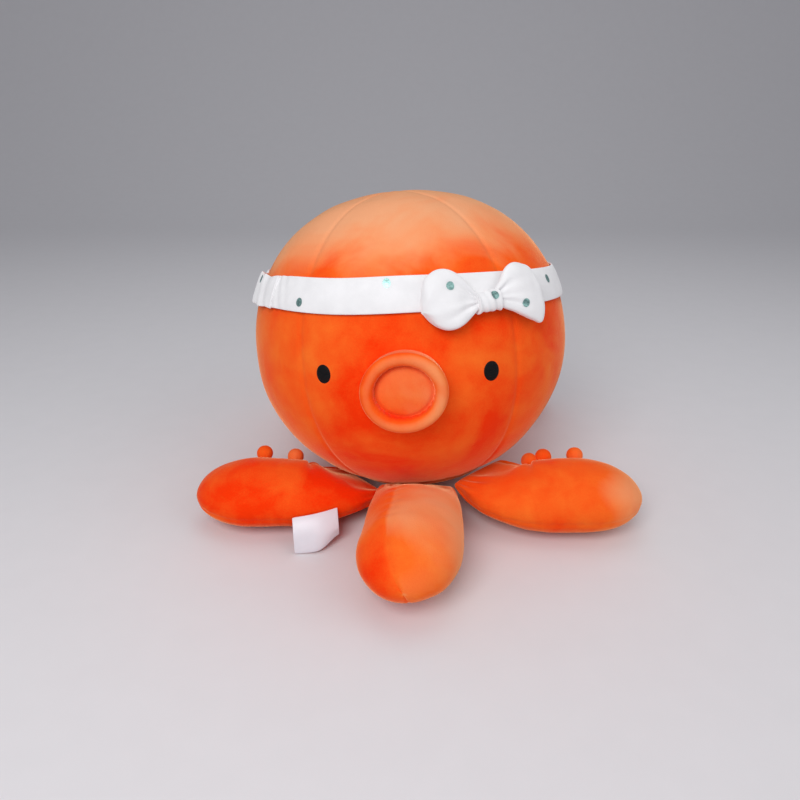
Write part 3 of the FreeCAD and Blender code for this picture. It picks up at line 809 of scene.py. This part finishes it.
class OCTOPUS_OT_eyes(bpy.types.Operator):
    """Embroidered eyes: low domed ovals of satin stitch, pressed a little into the pile round them"""

    bl_idname = "octopus.eyes"
    bl_label = "Eyes"

    def execute(self, context):
        size = settings()
        ball = Ball(size.head)
        angle, rim = np.meshgrid(np.radians(np.arange(0, 360, 5.0)), np.linspace(1, 0.03, 14))
        stitch = 1 + 0.018 * np.sin(angle * 29)
        wide = size.face.eye_width / 2 * rim * stitch * np.cos(angle)
        high = size.face.eye_height / 2 * rim * stitch * np.sin(angle)
        for name, (turn, level, roll) in EYES.items():
            reach = float(ball.radius(ball.at_level(level * MM)))
            place = face_frame(ball, turn, level * MM, reach)
            tilt = math.radians(roll)
            x = wide * math.cos(tilt) - high * math.sin(tilt)
            z = wide * math.sin(tilt) + high * math.cos(tilt)
            # Dome on the ball's own curve, the root of 1 - rim^4, with a ridge for each row of stitches.
            stand = 1.35 * MM * (1 - rim ** 4) ** 0.5 - 0.1 * MM - (x ** 2 + z ** 2) / (2 * size.head.radius)
            stand += 0.09 * MM * np.sin(z / (0.45 * MM) * math.pi) * (1 - rim ** 3)
            eye = piece(name + "_stitches", placed(place, x, z, stand), poles=(False, True))
            finer(eye)
            dress(eye, thread_finish, "head")
            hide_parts(name)
        return {"FINISHED"}


# ---- Legs ----

class Leg:
    """A leg's path on the floor and its oval sections, from its root at the base seam to its rounded tip."""

    def __init__(self, name, ball):
        plan = LEGS[name]
        self.bend, self.plain, self.tone = plan.bend, plan.plain, plan.tone
        self.suckers = plan.plain + plan.side * NARROW_PANEL
        self.seams = sorted((self.plain, self.suckers))
        self.length = plan.length * MM
        self.lift = plan.lift * MM
        height = 2 * plan.half_height * MM
        joint = JOINTS[name + "_root"]
        self.root = np.array(joint["pos_m"])
        self.turn = math.degrees(math.atan2(-joint["axis"][1], -joint["axis"][0]))
        size = settings().leg
        places = [0.0]
        widths = [ROOT_HALF[0] * MM]
        tops = [self.root[2] + ROOT_HALF[1] * MM]
        bottoms = [self.root[2] - ROOT_HALF[1] * MM]
        for place, wide, tall in NECK:
            distance = place * self.length
            spot = self.path(np.array([distance]))[0]
            droop = max(1 - place / 0.5, 0) ** 2
            places.append(distance)
            widths.append(size.half_width * wide)
            tops.append(min(self.lift + height * tall, float(ball.roof(spot, distance)[0])))
            bottoms.append(self.lift + (bottoms[0] - self.lift) * droop)
        self.bulb = BULB_PLACE * self.length
        self.knots = np.array(places + [self.bulb])
        self.widths = np.array(widths + [size.half_width])
        self.tops = np.array(tops + [self.lift + height])
        self.bottoms = np.array(bottoms + [self.lift])

    def path(self, distance):
        """Points and headings: straight, then an arc of the bend's angle, then straight again."""
        start, length = BEND_START * MM, BEND_LENGTH * MM
        past = np.clip(distance - start, 0, length)
        turned = self.bend * past / length
        half = np.radians(turned / 2)
        chord = past * np.sinc(half / math.pi)
        headings = np.radians(self.turn + turned)
        middle = np.radians(self.turn + turned / 2)
        first = math.radians(self.turn)
        before = np.minimum(distance, start)
        after = np.maximum(distance - start - length, 0)
        x = before * math.sin(first) + chord * np.sin(middle) + after * np.sin(headings)
        y = -before * math.cos(first) - chord * np.cos(middle) - after * np.cos(headings)
        points = np.stack([self.root[0] + x, self.root[1] + y, np.zeros_like(x)], -1)
        return points, headings

    def section(self, distance):
        """Half width, half height and middle height: smooth to the bulb, then a quarter oval to the tip."""
        body = np.minimum(distance, self.bulb)
        wide = hermite(body, self.knots, self.widths)
        top = hermite(body, self.knots, self.tops)
        bottom = np.maximum(hermite(body, self.knots, self.bottoms), self.lift)
        past = np.clip((distance - self.bulb) / (self.length - self.bulb), 0, 1)
        cap = np.sqrt(np.clip(1 - past ** 2, 0, 1))
        half = (top - bottom) / 2
        return wide * cap, half * cap, (top + bottom) / 2

    def surface(self, distance, angles, out=0.0):
        """Section square to the path: across cos(angle), up sin(angle), each pushed out by the given amount.

        Near the flat root both are raised to a power below 1, which squares the oval."""
        spots, headings = self.path(distance)
        wide, tall, middle = self.section(distance)
        power = 1 - 0.45 * (1 - smooth(distance, 6 * MM, 42 * MM))
        across = (wide + out) * squared(np.cos(angles), power)
        points = spots + across[..., None] * self.to_left(headings)
        points[..., 2] = middle + (tall + out) * squared(np.sin(angles), power)
        return points

    def to_left(self, headings):
        """Direction to the leg's own left: its heading turned a quarter to the left, seen from above."""
        return np.stack([np.cos(headings), np.sin(headings), np.zeros_like(headings)], -1)


class OCTOPUS_OT_legs(bpy.types.Operator):
    """Legs: two panels sewn along two seams, swollen by simulation, with folds at the root and at the bend"""

    bl_idname = "octopus.legs"
    bl_label = "Legs"

    def execute(self, context):
        ball = Ball(settings().head)
        for number, name in enumerate(LEGS):
            self.skin(name, Leg(name, ball), number)
        return {"FINISHED"}

    def skin(self, name, leg, number):
        """Leg's surface on rows square to its path: even as far as the bulb, then by sines of even angles."""
        low, high = leg.seams
        narrow = np.linspace(low, high, NARROW_POINTS + 1)[:-1]
        wide = np.linspace(high, low + 360, WIDE_POINTS + 1)[:-1]
        ends = leg.bulb + (leg.length - leg.bulb) * np.sin(np.linspace(0, 1, 18)[1:] * math.radians(84))
        along = np.concatenate([np.linspace(0, leg.bulb, 40), ends])
        angle, distance = np.meshgrid(np.radians(np.concatenate([narrow, wide])), along)
        # It starts smaller than it is, because the filling swells it.
        start = leg.surface(distance, angle, -1.2 * MM * smooth(distance, 0, 12 * MM))
        start[..., 2] = np.maximum(start[..., 2], 0.6 * MM)
        share = distance / leg.length
        tone = leg.tone + 0.14 * lumps(start, 0.05, 30 + number)
        if leg.bend:
            # Painted sheen: the bent side legs are painted paler towards their tips.
            tone += 0.32 * smooth(share, 0.6, 0.97)
        elif leg.tone > 0.5:
            # Painted light on the front leg: painted shade darkens its narrow panel, down its flank and under
            # it, and the pile grows darker towards its tip.
            tone[:, 1:NARROW_POINTS + 1] -= 0.3
            tone -= 0.45 * smooth(share, 0.66, 0.95)
            # The filling has slipped to one side of the tip.
            start[..., 0] -= 3.5 * MM * smooth(share, 0.5, 1.0)
        skin = piece(name + "_skin", start, poles=(True, True), tone=tone)
        stuffed(skin, self.hold(start.shape[:2]), 2.6 * MM)
        self.folds(skin, leg, distance, angle, number)
        plush(skin, 0.75, None, *(name + part for part in ("_narrow_panel", "_wide_panel", "_filling")))
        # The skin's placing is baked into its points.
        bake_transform(skin)

    def hold(self, shape):
        """How firmly each point is held: 1 at the root, the seams and the poles, 0.5 beside them."""
        held = np.zeros(shape)
        held[:, [0, NARROW_POINTS]] = 1.0
        held[:, [1, NARROW_POINTS - 1, NARROW_POINTS + 1, -1]] = 0.5
        held[:4] = 1.0
        held[4:7] = np.maximum(held[4:7], 0.5)
        return np.concatenate([held.ravel(), (1.0, 1.0)])

    def folds(self, skin, leg, distance, angle, number):
        """Moves the skin along its normals: a groove at each seam, radial folds that die out from the root,
        a deep crease inside the bend, and soft lumps."""
        points = coordinates(skin)
        count = distance.size
        normals = vertex_normals(skin)[:count]
        d, a = distance.ravel(), np.degrees(angle.ravel())
        girth = 34 * MM
        out = np.zeros(count)
        for seam in leg.seams:
            gap = np.radians(wrapped(a - seam)) * girth
            out -= 0.9 * MM * bump_at(gap, 0, 1.8 * MM) * smooth(d, 2 * MM, 12 * MM)
            ripple = np.sin(d / (9 * MM) * 2 * math.pi + number + 2 * np.sin(d / (23 * MM)))
            out += 0.4 * MM * ripple * bump_at(gap, 0, 7 * MM) * smooth(d, 8 * MM, 30 * MM)
        waves = np.sin(np.radians(a) * 11 + 1.3 * number + 1.5 * np.sin(np.radians(a) * 3))
        out += 1.3 * MM * waves * bump_at(d, 9 * MM, 17 * MM) * smooth(d, 1 * MM, 8 * MM)
        out += 0.8 * MM * lumps(points[:count], 0.05, 40 + number) * smooth(d, 10 * MM, 40 * MM)
        out += 0.3 * MM * lumps(points[:count], 0.018, 50 + number) * smooth(d, 6 * MM, 30 * MM)
        if leg.bend:
            inside = 0 if leg.bend > 0 else 180
            facing = np.clip(0.55 + np.cos(np.radians(a - inside)), 0, 1)
            middle = (BEND_START + BEND_LENGTH / 2) * MM
            out -= 2.2 * MM * bump_at(d, middle + 5 * MM, 4.5 * MM) * facing
            out += 0.9 * MM * bump_at(d, middle - 7 * MM, 5 * MM) * facing
        points[:count] += normals * out[:, None]
        points[:, 2] = np.maximum(points[:, 2], FLOOR_GAP * MM)
        move_points(skin, points)


class OCTOPUS_OT_suckers(bpy.types.Operator):
    """Sucker balls: small stuffed balls drawn into the leg's seam, each gathered where it is sewn"""

    bl_idname = "octopus.suckers"
    bl_label = "Sucker balls"

    def execute(self, context):
        size = settings().leg
        ball = Ball(settings().head)
        polar = np.radians(np.arange(0, 360, 10.0))
        polar, around = np.meshgrid(polar, np.linspace(0.04, 0.93, 22) * math.pi)
        distance = np.array(SUCKER_PLACES) * MM
        for name in LEGS:
            leg = Leg(name, ball)
            angle = math.radians(leg.suckers)
            wide, tall, _ = leg.section(distance)
            facing = leg.to_left(leg.path(distance)[1]) * (tall * math.cos(angle))[:, None]
            facing[:, 2] = wide * math.sin(angle)
            facing /= np.linalg.norm(facing, axis=1)[:, None]
            centres = leg.surface(distance, angle) + facing * (size.sucker - SUCKER_SINK * MM)
            # The leg that bends under the head needs more room above its balls.
            slack = 2.2 if leg.bend < 0 else 1.0
            roof = ball.roof(centres, distance) - slack * size.sucker
            centres[:, 2] = np.maximum(np.minimum(centres[:, 2], roof), size.sucker + 0.2 * MM)
            for number, (centre, out) in enumerate(zip(centres, facing)):
                self.ball(name, number, centre, out, size.sucker, polar, around)
        return {"FINISHED"}

    def ball(self, leg, number, centre, out, radius, polar, around):
        """Ball about its own outward axis, with gathers that deepen towards the sewn pole."""
        aside = (0.0, 0.0, 1.0) if abs(out[2]) < 0.9 else (1.0, 0.0, 0.0)
        first = np.cross(out, aside)
        first /= np.linalg.norm(first)
        axes = (centre, first, np.cross(out, first), out)
        reach = radius * (1 + 0.03 * np.sin(polar * 9 + number) * smooth(around, 1.2, 2.9))
        reach = reach * (1 + 0.015 * np.sin(2 * polar + number))
        ring = reach * np.sin(around)
        points = placed(axes, ring * np.cos(polar), ring * np.sin(polar), reach * np.cos(around))
        points[..., 2] = np.maximum(points[..., 2], FLOOR_GAP * MM)
        sucker = piece(f"{leg}_sucker_{number + 1}", points, poles=(True, True), outwards=False, tone=0.55)
        plush(sucker, 0.8, leg, leg + "_suckers")


# ---- Headband and bow ----

class Band:
    """The headband's ring: heights square to its own leaning axis, standing off the head's skin."""

    def __init__(self):
        size = settings().band
        self.ball = Ball(settings().head)
        self.size = size
        self.middle = math.degrees(size.bow_turn)
        axis = np.array(JOINTS["headband_lift"]["axis"])
        self.up = self.ball.turned.T @ (axis / np.linalg.norm(axis))

    def share(self, turn, rise):
        """Share of the head's outline where the band's plane, raised by this much, meets the skin."""
        level = np.full(np.broadcast(turn, rise).shape, self.size.level)
        angle = np.radians(turn)
        for _ in range(4):
            reach = self.ball.radius(self.ball.at_level(level))
            lean = self.up[0] * reach * np.sin(angle) - self.up[1] * reach * np.cos(angle)
            level = self.size.level + (rise - lean) / self.up[2]
        return self.ball.at_level(level)

    def point(self, turn, rise, out):
        return self.ball.point(turn, self.share(turn, rise), out)


def folded_section(count):
    """Rise and stand, from -1 to 1, round a flat tube of cloth: powers of cosine and sine round its folds."""
    angle = np.linspace(0, 2 * math.pi, count, endpoint=False)
    return squared(np.cos(angle), 0.55), squared(np.sin(angle), 0.6)


class OCTOPUS_OT_headband(bpy.types.Operator):
    """Headband: a flat folded strip in front, and a casing gathered on its elastic behind"""

    bl_idname = "octopus.headband"
    bl_label = "Headband"

    def execute(self, context):
        band = Band()
        self.strip(band)
        self.casing(band)
        self.dots(band)
        return {"FINISHED"}

    def front(self, band, turn, rise, stand):
        """Strip surface: slack waves along its edges, small tucks towards the gathered ends."""
        size = band.size
        near_end = bump_at(np.abs(turn - band.middle), STRIP_END, 7)
        height = size.height / 2 * (1 + 0.02 * np.sin(np.radians(turn) * 7 + rise * 2) - 0.04 * near_end)
        wave = 0.5 * MM * np.sin(np.radians(turn) * 11 + 2 * rise) * rise ** 2
        tuck = 0.8 * MM * np.sin(np.radians(turn) * 75 + 3 * rise) * near_end
        out = 0.9 * MM + size.thickness / 2 * (1 + stand) + 0.4 * wave + tuck
        shift = 0.5 * MM * np.sin(np.radians(turn) * 5)
        return band.point(turn, rise * height + shift, out)

    def cloth_grid(self, band, start, end, rows, around):
        """Turns from one end to the other, and the rise and stand round the folded cloth at each."""
        rise, stand = folded_section(around)
        turns = np.linspace(band.middle + start, band.middle + end, rows)
        turn, rise = np.meshgrid(turns, rise, indexing="ij")
        return turn, rise, np.broadcast_to(stand, turn.shape)

    def strip(self, band):
        half = STRIP_END + STRIP_TUCK
        turn, rise, stand = self.cloth_grid(band, -half, half, 150, 40)
        strip = piece("headband_front", self.front(band, turn, rise, stand), poles=(True, True))
        length = math.radians(2 * half) * BAND_RADIUS * MM
        velour(strip, (band.size.height, length), "stretched", "head_skin", "headband_strip")

    def casing(self, band):
        """Gathered casing: ruffles run up the cloth, sharper at the middle, where the elastic draws it in."""
        size = band.size
        start = STRIP_END - CASING_TUCK
        turn, rise, stand = self.cloth_grid(band, start, 360 - start, 620, 28)
        share = (turn - turn[0]) / (turn[-1] - turn[0])
        full = smooth(share, 0, 0.03) * smooth(1 - share, 0, 0.03)
        phase = np.radians(turn) * 44 + 1.1 * np.sin(np.radians(turn) * 9) + 0.5 * rise
        phase = phase + 0.7 * np.sin(np.radians(turn) * 23 + 1.2 * rise)
        ruffle = np.sin(phase) * (0.75 + 0.25 * np.abs(rise)) * full
        edge = 0.7 * MM * np.sin(phase * 0.5 + 1) * full
        height = size.height / 2 * (0.96 + 0.03 * np.sin(np.radians(turn) * 13))
        out = 0.7 * MM + 1.3 * MM * (1 + stand) + 1.15 * MM * (1 + ruffle)
        points = band.point(turn, rise * (height + edge), out)
        casing = piece("headband_gathered", points, poles=(True, True))
        length = math.radians(360 - 2 * start) * CASING_RADIUS * MM * CASING_FULLNESS
        velour(casing, (size.height, length), "gathered", "head_skin",
               "headband_gathered_back", "headband_elastic")

    def dots(self, band):
        """Foil dots pressed on the cloth: thin discs that follow the strip's or the casing's face."""
        size = band.size
        angle, rim = dot_grid()
        for number, (turn, level) in enumerate(BAND_DOTS):
            around = turn + np.degrees(size.dot * rim * np.cos(angle) / (BAND_RADIUS * MM))
            rise = level + size.dot * rim * np.sin(angle) / (size.height / 2)
            if abs(wrapped(turn - band.middle)) < STRIP_END:
                face = self.front(band, around, rise, 1.25 - 0.15 * rim)
            else:
                face = band.point(around, rise * size.height / 2, 6.0 * MM - 0.1 * MM * rim)
            foil_dot(f"band_dot_{number + 1}", face)


class OCTOPUS_OT_bow(bpy.types.Operator):
    """Bow: two puffed loops of cloth creased towards the knot that grips them"""

    bl_idname = "octopus.bow"
    bl_label = "Bow"

    def execute(self, context):
        size = settings().band
        ball = Ball(settings().head)
        reach = float(ball.radius(ball.at_level(size.bow_level)))
        turn = math.degrees(size.bow_turn) - BOW_SLIDE
        middle, side, up, out = face_frame(ball, turn, size.bow_level, reach)
        slope = math.radians(BOW_SLOPE)
        self.out = out * math.cos(slope) + up * math.sin(slope)
        self.axes = (middle, side, up * math.cos(slope) - out * math.sin(slope), self.out)
        for name, wing in WINGS.items():
            self.wing(name, wing)
        self.knot()
        self.dots()
        return {"FINISHED"}

    def at(self, along, up, out):
        """Place along the bow, up it and out of it, bent back with the head's curve."""
        back = along ** 2 / (2 * settings().head.radius)
        return placed(self.axes, along, up, BOW_STAND * MM + out - back)

    def edge(self, wing, share, upper):
        """Height of the wing's outline there, above the bow's middle line where upper, and else below it."""
        above, below = (hermite(share, wing.shares, np.array(side) * MM) for side in (wing.above, wing.below))
        return np.where(upper, above, below)

    def wing_face(self, wing, share, angle):
        """Loop surface: half heights follow the outline, the puff is a flattened oval, and three creases run
        out of the knot and fade."""
        c, s = np.cos(angle), np.sin(angle)
        level = squared(c, WING_POWER)
        tall = self.edge(wing, share, c > 0) * level
        puff = hermite(share, (0, 0.15, 0.4, 0.75, 0.95, 1), np.array((2.6, 3.4, 5.2, 5.4, 3.8, 1.6)) * MM)
        deep = puff * squared(s, 0.75)
        fade = np.clip(1 - share / 0.75, 0, 1) ** 1.2
        crease = np.zeros_like(share)
        for place, width, depth in ((-0.46, 0.13, 3.4), (0.02, 0.12, 2.6), (0.46, 0.13, 3.2)):
            path = place * (0.8 + 0.5 * share) + 0.06 * np.sin(share * 6 + wing.phase)
            crease += depth * MM * bump_at(level, path, width)
        deep = deep - np.where(s > 0, crease * fade, 0)
        wave = np.where(s > 0, 0.5 * MM, 0.2 * MM) * np.sin(level * 7 + share * 5 + wing.phase)
        deep = deep + wave * share * np.abs(s)
        along = WAIST * MM + (wing.reach - WAIST) * MM * share - 1.5 * MM * level ** 2 * share
        return self.at(wing.side * along, tall, deep)

    def wing(self, name, wing):
        """Wing's surface on stations that lie closer together towards its end."""
        end = 0.9 + 0.1 * np.sin(np.linspace(0, 1, 8)[1:] * math.pi / 2)
        shares = np.concatenate([np.linspace(0, 0.9, 30), end])
        share, angle = np.meshgrid(shares, np.linspace(0, 2 * math.pi, 56, endpoint=False), indexing="ij")
        cloth = piece(name, self.wing_face(wing, share, angle), poles=(True, True), outwards=wing.side > 0)
        velour(cloth, tuple(side / 1000 for side in WING_FLAT), "folded", "headband_front", "bow")

    def knot_face(self, along, angle, extra):
        """Knot surface: an oval round the waist, pinched at its middle, with tucks that run round it."""
        share = along / (KNOT_HALF * MM)
        swell = 1 + 0.10 * share ** 2
        high = (KNOT_HIGH * MM + extra) * swell
        deep = (KNOT_DEEP * MM + extra) * swell
        tuck = 0.35 * MM * np.sin(share * 5 + 1.2) + 0.3 * MM * np.sin(share * 11 + np.cos(angle) * 2)
        return self.at(along, (high + tuck) * np.cos(angle) - KNOT_DROP * MM, (deep + tuck) * np.sin(angle))

    def knot(self):
        """Knot's surface, turned in at both ends."""
        across = np.concatenate([[-0.90, -0.97], np.linspace(-1, 1, 26), [0.97, 0.90]]) * KNOT_HALF * MM
        inwards = np.concatenate([[-2.0, -0.9], np.zeros(26), [-0.9, -2.0]]) * MM
        along, angle = np.meshgrid(across, np.linspace(0, 2 * math.pi, 44, endpoint=False), indexing="ij")
        extra = np.broadcast_to(inwards[:, None], along.shape)
        knot = piece("bow_knot_cloth", self.knot_face(along, angle, extra), poles=(True, True))
        finer(knot)
        dress(knot, velour_finish, "headband")
        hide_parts("bow_knot")

    def dots(self):
        """Foil dots on the wings and the knot: each point's height there gives its angle round the cloth."""
        size = settings().band
        around, rim = dot_grid()
        for number, (along, up) in enumerate(BOW_DOTS):
            wide = along * MM + size.dot * rim * np.cos(around)
            high = up * MM + size.dot * rim * np.sin(around)
            if abs(along) < KNOT_HALF:
                angle = np.arccos(np.clip((high + KNOT_DROP * MM) / ((KNOT_HIGH + 0.2) * MM), -1, 1))
                face = self.knot_face(wide, angle, 0.25 * MM)
            else:
                wing = WINGS["bow_right_wing" if along > 0 else "bow_left_wing"]
                share = (wide * wing.side - WAIST * MM) / ((wing.reach - WAIST) * MM)
                level = np.clip(high / self.edge(wing, share, high > 0), -0.99, 0.99)
                angle = np.arccos(squared(level, 1 / WING_POWER))
                face = self.wing_face(wing, share, angle) + 0.25 * MM * self.out
            foil_dot(f"bow_dot_{number + 1}", face)


# ---- Care tag ----

class OCTOPUS_OT_tag(bpy.types.Operator):
    """Care tag: a loop of blank satin ribbon that falls from the leg's seam to the floor, one corner curled"""

    bl_idname = "octopus.tag"
    bl_label = "Care tag"

    def execute(self, context):
        leg = Leg("left_leg", Ball(settings().head))
        width = length = TAG_SIZE * MM
        across, along = np.meshgrid(np.linspace(-0.5, 0.5, 15), np.linspace(0, 2, 61))
        # The upper edge lies on the leg by its plain seam.
        distance = TAG_MIDDLE * MM - 0.74 * across * width
        sewn = leg.surface(distance, np.radians(leg.plain + 10 + 15 * (across + 0.5)), -0.5 * MM)
        away = leg.to_left(leg.path(np.array([TAG_MIDDLE * MM]))[1])[0]
        # Down the front layer, round the fold at the foot and back up behind it: a quarter oval in profile.
        front = 1 - np.abs(along - 1)
        fall = front * math.pi / 2
        drop = sewn[..., 2] - 0.6 * MM
        out = 0.53 * length * np.sin(fall) ** 1.15
        height = sewn[..., 2] - drop * (1 - np.cos(fall)) ** 0.8
        layer = np.where(along < 1, 1.0, -1.0) * 0.45 * MM * np.minimum(1, np.abs(along - 1) * 12)
        curl = smooth(front, 0.4, 1.0) * smooth(across, 0.0, 0.5)
        height = height + layer * np.cos(fall) + 9 * MM * curl + 0.8 * MM * np.sin(across * 8 + 1) * front
        out = out + layer * np.sin(fall) - 6 * MM * curl + 1.0 * MM * np.sin(across * 5) * front
        height = np.maximum(height, 0.5 * MM + (layer > 0) * 0.4 * MM)
        points = sewn + out[..., None] * away
        points[..., 2] = height
        tag = piece("care_tag_ribbon", points, closed=False)
        # The wall is laid on both faces, so that it keeps clear of the leg.
        wall = tag.modifiers.new("Ribbon", "SOLIDIFY")
        wall.thickness = 0.22 * MM
        wall.offset = 0
        finer(tag)
        dress(tag, satin_finish, None)
        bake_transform(tag)
        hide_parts("care_tag")
        return {"FINISHED"}


# ---- Stage ----

class OCTOPUS_OT_stage(bpy.types.Operator):
    """Pale floor that curves up behind, soft studio lights, and the camera"""

    bl_idname = "octopus.stage"
    bl_label = "Studio"

    def execute(self, context):
        self.floor()
        self.light("Key", (-0.35, -0.95, 0.95), (58, 0, -20), 0.7, 9.6)
        self.light("Fill", (0.9, -0.5, 0.8), (58, 0, 60), 0.9, 2.5)
        self.light("Top", (0.0, 0.3, 1.5), (0, 0, 0), 1.2, 3.5)
        world = bpy.data.worlds.new("Studio")
        world.use_nodes = True
        background = world.node_tree.nodes["Background"]
        background.inputs["Color"].default_value = (0.93, 0.94, 1.0, 1)
        background.inputs["Strength"].default_value = 0.34
        bpy.context.scene.world = world
        camera = bpy.data.cameras.new("Camera")
        camera.lens = 27
        camera.sensor_width = 36
        holder = bpy.data.objects.new("Camera", camera)
        holder.location = CAMERA_PLACE
        holder.rotation_euler = (math.radians(CAMERA_TILT), 0, 0)
        bpy.context.scene.collection.objects.link(holder)
        bpy.context.scene.camera = holder
        bpy.context.scene.view_settings.view_transform = "Standard"
        return {"FINISHED"}

    def floor(self):
        """Sweep: the floor runs level and then up a quarter circle behind; the same line across."""
        x, t = np.meshgrid(np.linspace(-4, 4, 3), np.linspace(0, 1, 41))
        arc = np.clip((t - 0.5) / 0.5, 0, 1) * math.pi / 2
        y = -3 + np.minimum(t, 0.5) * 2 * 4.4 + 1.2 * np.sin(arc)
        z = 1.2 * (1 - np.cos(arc))
        floor = piece("studio_floor", np.stack([x, y, z], -1), closed=False)
        finish = Finish("Studio paper", 0.8)
        grain = finish.noise(40, 3)
        tint = tuple(settings().colours.floor)
        finish.colour(finish.mix(finish.remap(grain, 0.3, 0.7), tuple(v * 0.985 for v in tint), tint))
        finish.bump(finish.noise(900, 2), 0.0001, 0.2)
        floor.data.materials.append(finish.material)
        floor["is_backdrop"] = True

    def light(self, name, place, turn, size, power):
        lamp = bpy.data.lights.new(name, "AREA")
        lamp.size = size
        lamp.energy = power
        holder = bpy.data.objects.new(name, lamp)
        holder.location = place
        holder.rotation_euler = [math.radians(v) for v in turn]
        bpy.context.scene.collection.objects.link(holder)


class OCTOPUS_PT_panel(bpy.types.Panel):
    """Sizes, colours and steps of the octopus"""

    bl_idname = "OCTOPUS_PT_panel"
    bl_label = "Plush octopus"
    bl_space_type = "VIEW_3D"
    bl_region_type = "UI"
    bl_category = "Octopus"

    def draw(self, context):
        for step in STEPS:
            self.layout.operator(step.bl_idname)
        for group in ("head", "face", "leg", "band", "colours"):
            box = self.layout.box()
            box.label(text=group.capitalize())
            values = getattr(settings(), group)
            for name in values.__annotations__:
                box.prop(values, name)


GROUPS = (HeadSizes, FaceSizes, LegSizes, BandSizes, Colours, OctopusSettings)
STEPS = (OCTOPUS_OT_head, OCTOPUS_OT_mouth, OCTOPUS_OT_eyes, OCTOPUS_OT_legs, OCTOPUS_OT_suckers,
         OCTOPUS_OT_headband, OCTOPUS_OT_bow, OCTOPUS_OT_tag, OCTOPUS_OT_stage)


def register():
    for item in (*GROUPS, *STEPS, OCTOPUS_PT_panel):
        bpy.utils.register_class(item)
    bpy.types.Scene.plush_octopus = PointerProperty(type=OctopusSettings)


def unregister():
    del bpy.types.Scene.plush_octopus
    for item in reversed((*GROUPS, *STEPS, OCTOPUS_PT_panel)):
        bpy.utils.unregister_class(item)


def main():
    register()
    bpy.ops.octopus.head()
    bpy.ops.octopus.mouth()
    bpy.ops.octopus.eyes()
    bpy.ops.octopus.legs()
    bpy.ops.octopus.suckers()
    bpy.ops.octopus.headband()
    bpy.ops.octopus.bow()
    bpy.ops.octopus.tag()
    bpy.ops.octopus.stage()
    boxes = {"frame": FRAME_BOX, "visual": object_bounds()}
    boxes = {name: [list(corner) for corner in box] for name, box in boxes.items()}


if __name__ == "__main__":
    main()
